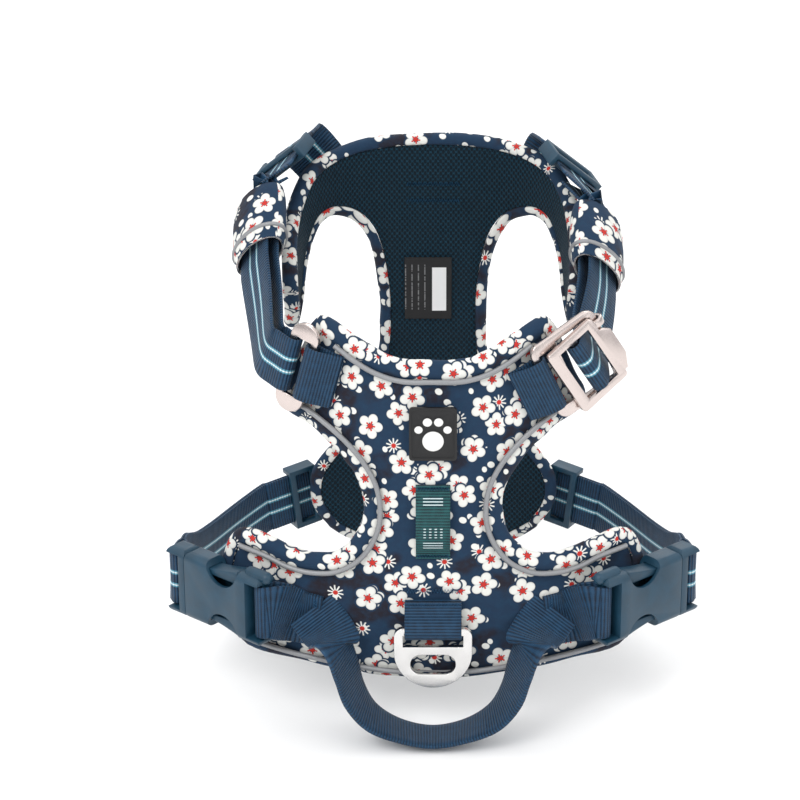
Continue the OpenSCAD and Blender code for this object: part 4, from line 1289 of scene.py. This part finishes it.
class HARNESS_OT_fittings(bpy.types.Operator):
    """Finish the metal rings and buckles, the plastic buckles and sliders, the badge and the label"""

    bl_idname = "harness.fittings"
    bl_label = "Fittings"

    def execute(self, context):
        edge = context.scene.harness_fittings.edge
        parts = [
            ("leash_plate", "leash_plate", "plate", "leash_metal", edge),
            ("front_leash_ring", "front_ring", "metal", "satin_metal", 0),
            ("shoulder_ring", "shoulder_ring", "metal", "satin_metal", edge),
            ("neck_buckle_receiver", "harness", "metal", "satin_metal", edge),
            ("neck_buckle_hook_frame", "neck_hook", "metal", "satin_metal", edge),
            ("badge_patch", "harness", "badge", "rubber_badge", 0.00022),
        ]
        for word in ("left", "right"):
            parts += [
                (f"shoulder_slider_{word}", f"shoulder_slider_{word}", "plastic", "slate_plastic", edge),
                (f"belly_slider_{word}", f"belly_slider_{word}", "plastic", "slate_plastic", edge),
                (f"buckle_socket_{word}", "harness", "plastic", "slate_plastic", 0.0006),
                (f"buckle_plug_{word}", f"plug_{word}", "plastic", "slate_plastic", 0.0006),
                (f"plug_prong_upper_{word}", f"prong_upper_{word}", "plastic", "slate_plastic", 0.0005),
                (f"plug_prong_lower_{word}", f"prong_lower_{word}", "plastic", "slate_plastic", 0.0005),
            ]
        for node, body, look, slot, width in parts:
            piece = from_frame(f"{node}_finished", [node], width)
            done(piece, LOOKS[look], body, (node,))
        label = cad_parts["care_label"]
        label.data.materials.clear()
        label.data.materials.append(LOOKS["label"])
        return {"FINISHED"}


class HARNESS_OT_stitching(bpy.types.Operator):
    """Sew the zigzag rows that hold the tabs, the side webbing and the light loop"""

    bl_idname = "harness.stitching"
    bl_label = "Stitching"

    @staticmethod
    def zigzag(at, width, tall, count):
        """A zigzag row through at(x, y)"""
        return [at((k / count - 0.5) * width, tall / 2 * (1 if k % 2 else -1)) for k in range(count + 1)]

    def execute(self, context):
        rows = []
        for x in (12.2, 17.8):
            lift = -0.85 if x < 13 else -3.6
            rows.append(self.zigzag(lambda a, b: in_frame(LEASH_FRAME, x + b, a, lift), 22.5, 1.7, 34))
        for f, d, drop in ((RING_FRAME, 1, 4.9), (RECEIVER_FRAME, -1, 5.1)):
            rows.append(self.zigzag(lambda a, b: in_frame(f, 11.2 * d + b, a, 2.0 - drop), 22.0, 1.4, 34))
        for z, off in ((36.4, 1.85), (67.6, 1.85)):
            rows.append(self.zigzag(lambda a, b: skin(BACK, 0, z + b, off) + Vector((a, 0, 0)), 13.6, 1.6,
                22))
        for s in (-1, 1):
            rows.append(self.zigzag(lambda a, b: skin(BACK, s * (38.2 + b * 0.4), 1.7 + a, 3.2), 22.5, 1.6,
                34))
        piece = wire("back_stitching", rows, 0.26, sides=3)
        done(piece, LOOKS["thread"], "harness", ())
        rows = []
        for x in (12, 19):
            rows.append(self.zigzag(lambda a, b: in_frame(FRONT_FRAME, x + b, a, -0.95), 22.5, 1.6, 34))
        for z in (152.5, 160.5):
            rows.append(self.zigzag(lambda a, b: skin(CHEST, 180 + a / 1.15, z + b, -0.35), 24, 1.6, 40))
        piece = wire("chest_stitching", rows, 0.26, sides=3)
        done(piece, LOOKS["thread"], "harness", ())
        return {"FINISHED"}


class HARNESS_OT_stage(bpy.types.Operator):
    """Set the pale floor, the soft lights and the camera"""

    bl_idname = "harness.stage"
    bl_label = "Stage"

    def area(self, name, at, size, power, target=(0, 0, 0.06)):
        light = bpy.data.lights.new(name, "AREA")
        light.energy, light.size = power, size
        lamp = bpy.data.objects.new(name, light)
        bpy.context.scene.collection.objects.link(lamp)
        lamp.location = at
        lamp.rotation_euler = (Vector(target) - Vector(at)).to_track_quat("-Z", "Y").to_euler()

    def execute(self, context):
        scene = context.scene
        scene.view_settings.view_transform = "Standard"
        only()
        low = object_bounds()[0][2]
        bpy.ops.mesh.primitive_plane_add(size=8, location=(0, 0, low - 0.0005))
        floor = context.object
        floor.name = "floor"
        look = Look("pale floor", roughness=0.9)
        x, y, z = look.place()
        speck = look.noise(look.vector(x, y, z), 0.05, 3.0)
        look.set("Base Color", look.blend(speck, (0.90, 0.90, 0.90), (0.92, 0.92, 0.92)))
        floor.data.materials.append(look.material)
        floor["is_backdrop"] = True
        world = scene.world or bpy.data.worlds.new("studio")
        scene.world = world
        world.use_nodes = True
        tree = world.node_tree
        sky = tree.nodes["Background"]
        place = tree.nodes.new("ShaderNodeTexCoord")
        parts = tree.nodes.new("ShaderNodeSeparateXYZ")
        ramp = tree.nodes.new("ShaderNodeValToRGB")
        # Darker low down and behind the harness, so that the metal has something to mirror
        ramp.color_ramp.elements[0].position, ramp.color_ramp.elements[0].color = 0.02, (0.30, 0.31, 0.33, 1)
        ramp.color_ramp.elements[1].position, ramp.color_ramp.elements[1].color = 0.55, (1.0, 1.0, 1.0, 1)
        tree.links.new(place.outputs["Generated"], parts.inputs[0])
        tree.links.new(parts.outputs[2], ramp.inputs[0])
        tree.links.new(ramp.outputs[0], sky.inputs["Color"])
        sky.inputs["Strength"].default_value = 1.25
        self.area("key light", (-0.9, -1.3, 1.5), 0.9, 17)
        self.area("fill light", (1.3, -0.9, 0.8), 1.2, 4)
        self.area("back light", (0.3, 1.4, 1.3), 1.0, 6)
        lens = bpy.data.cameras.new("camera")
        lens.lens, lens.sensor_width = 127.95, 36
        lens.shift_x, lens.shift_y = -0.04125, 0.08775
        lens.clip_start, lens.clip_end = 0.05, 50
        camera = bpy.data.objects.new("camera", lens)
        scene.collection.objects.link(camera)
        camera.location = (0, -1.18761, 0.57376)
        camera.rotation_euler = (Vector((0, 0, 0.045)) - camera.location).to_track_quat("-Z", "Y").to_euler()
        scene.camera = camera
        return {"FINISHED"}


class HARNESS_PT_panel(bpy.types.Panel):
    """Sizes, colours and steps of the harness"""

    bl_idname = "HARNESS_PT_panel"
    bl_label = "Dog harness"
    bl_space_type = "VIEW_3D"
    bl_region_type = "UI"
    bl_category = "Harness"

    def draw(self, context):
        for group in (context.scene.harness_webbing, context.scene.harness_panels,
            context.scene.harness_fittings):
            box = self.layout.box()
            for name in group.bl_rna.properties.keys():
                if name not in ("rna_type", "name"):
                    box.prop(group, name)
        for step in STEPS:
            self.layout.operator(step.bl_idname)


GROUPS = {
    "harness_webbing": HARNESS_PG_webbing,
    "harness_panels": HARNESS_PG_panels,
    "harness_fittings": HARNESS_PG_fittings,
}
STEPS = (
    HARNESS_OT_panels, HARNESS_OT_piping, HARNESS_OT_tabs, HARNESS_OT_straps, HARNESS_OT_handle,
    HARNESS_OT_sleeves, HARNESS_OT_fittings, HARNESS_OT_stitching, HARNESS_OT_stage,
)


def register():
    for kind in (*GROUPS.values(), *STEPS, HARNESS_PT_panel):
        bpy.utils.register_class(kind)
    for name, kind in GROUPS.items():
        setattr(bpy.types.Scene, name, PointerProperty(type=kind))


def unregister():
    for name in GROUPS:
        delattr(bpy.types.Scene, name)
    for kind in (HARNESS_PT_panel, *reversed(STEPS), *reversed(GROUPS.values())):
        bpy.utils.unregister_class(kind)


def main():
    register()
    make_looks(bpy.context.scene)
    for step in STEPS:
        group, name = step.bl_idname.split(".")
        getattr(getattr(bpy.ops, group), name)()


if __name__ == "__main__":
    main()
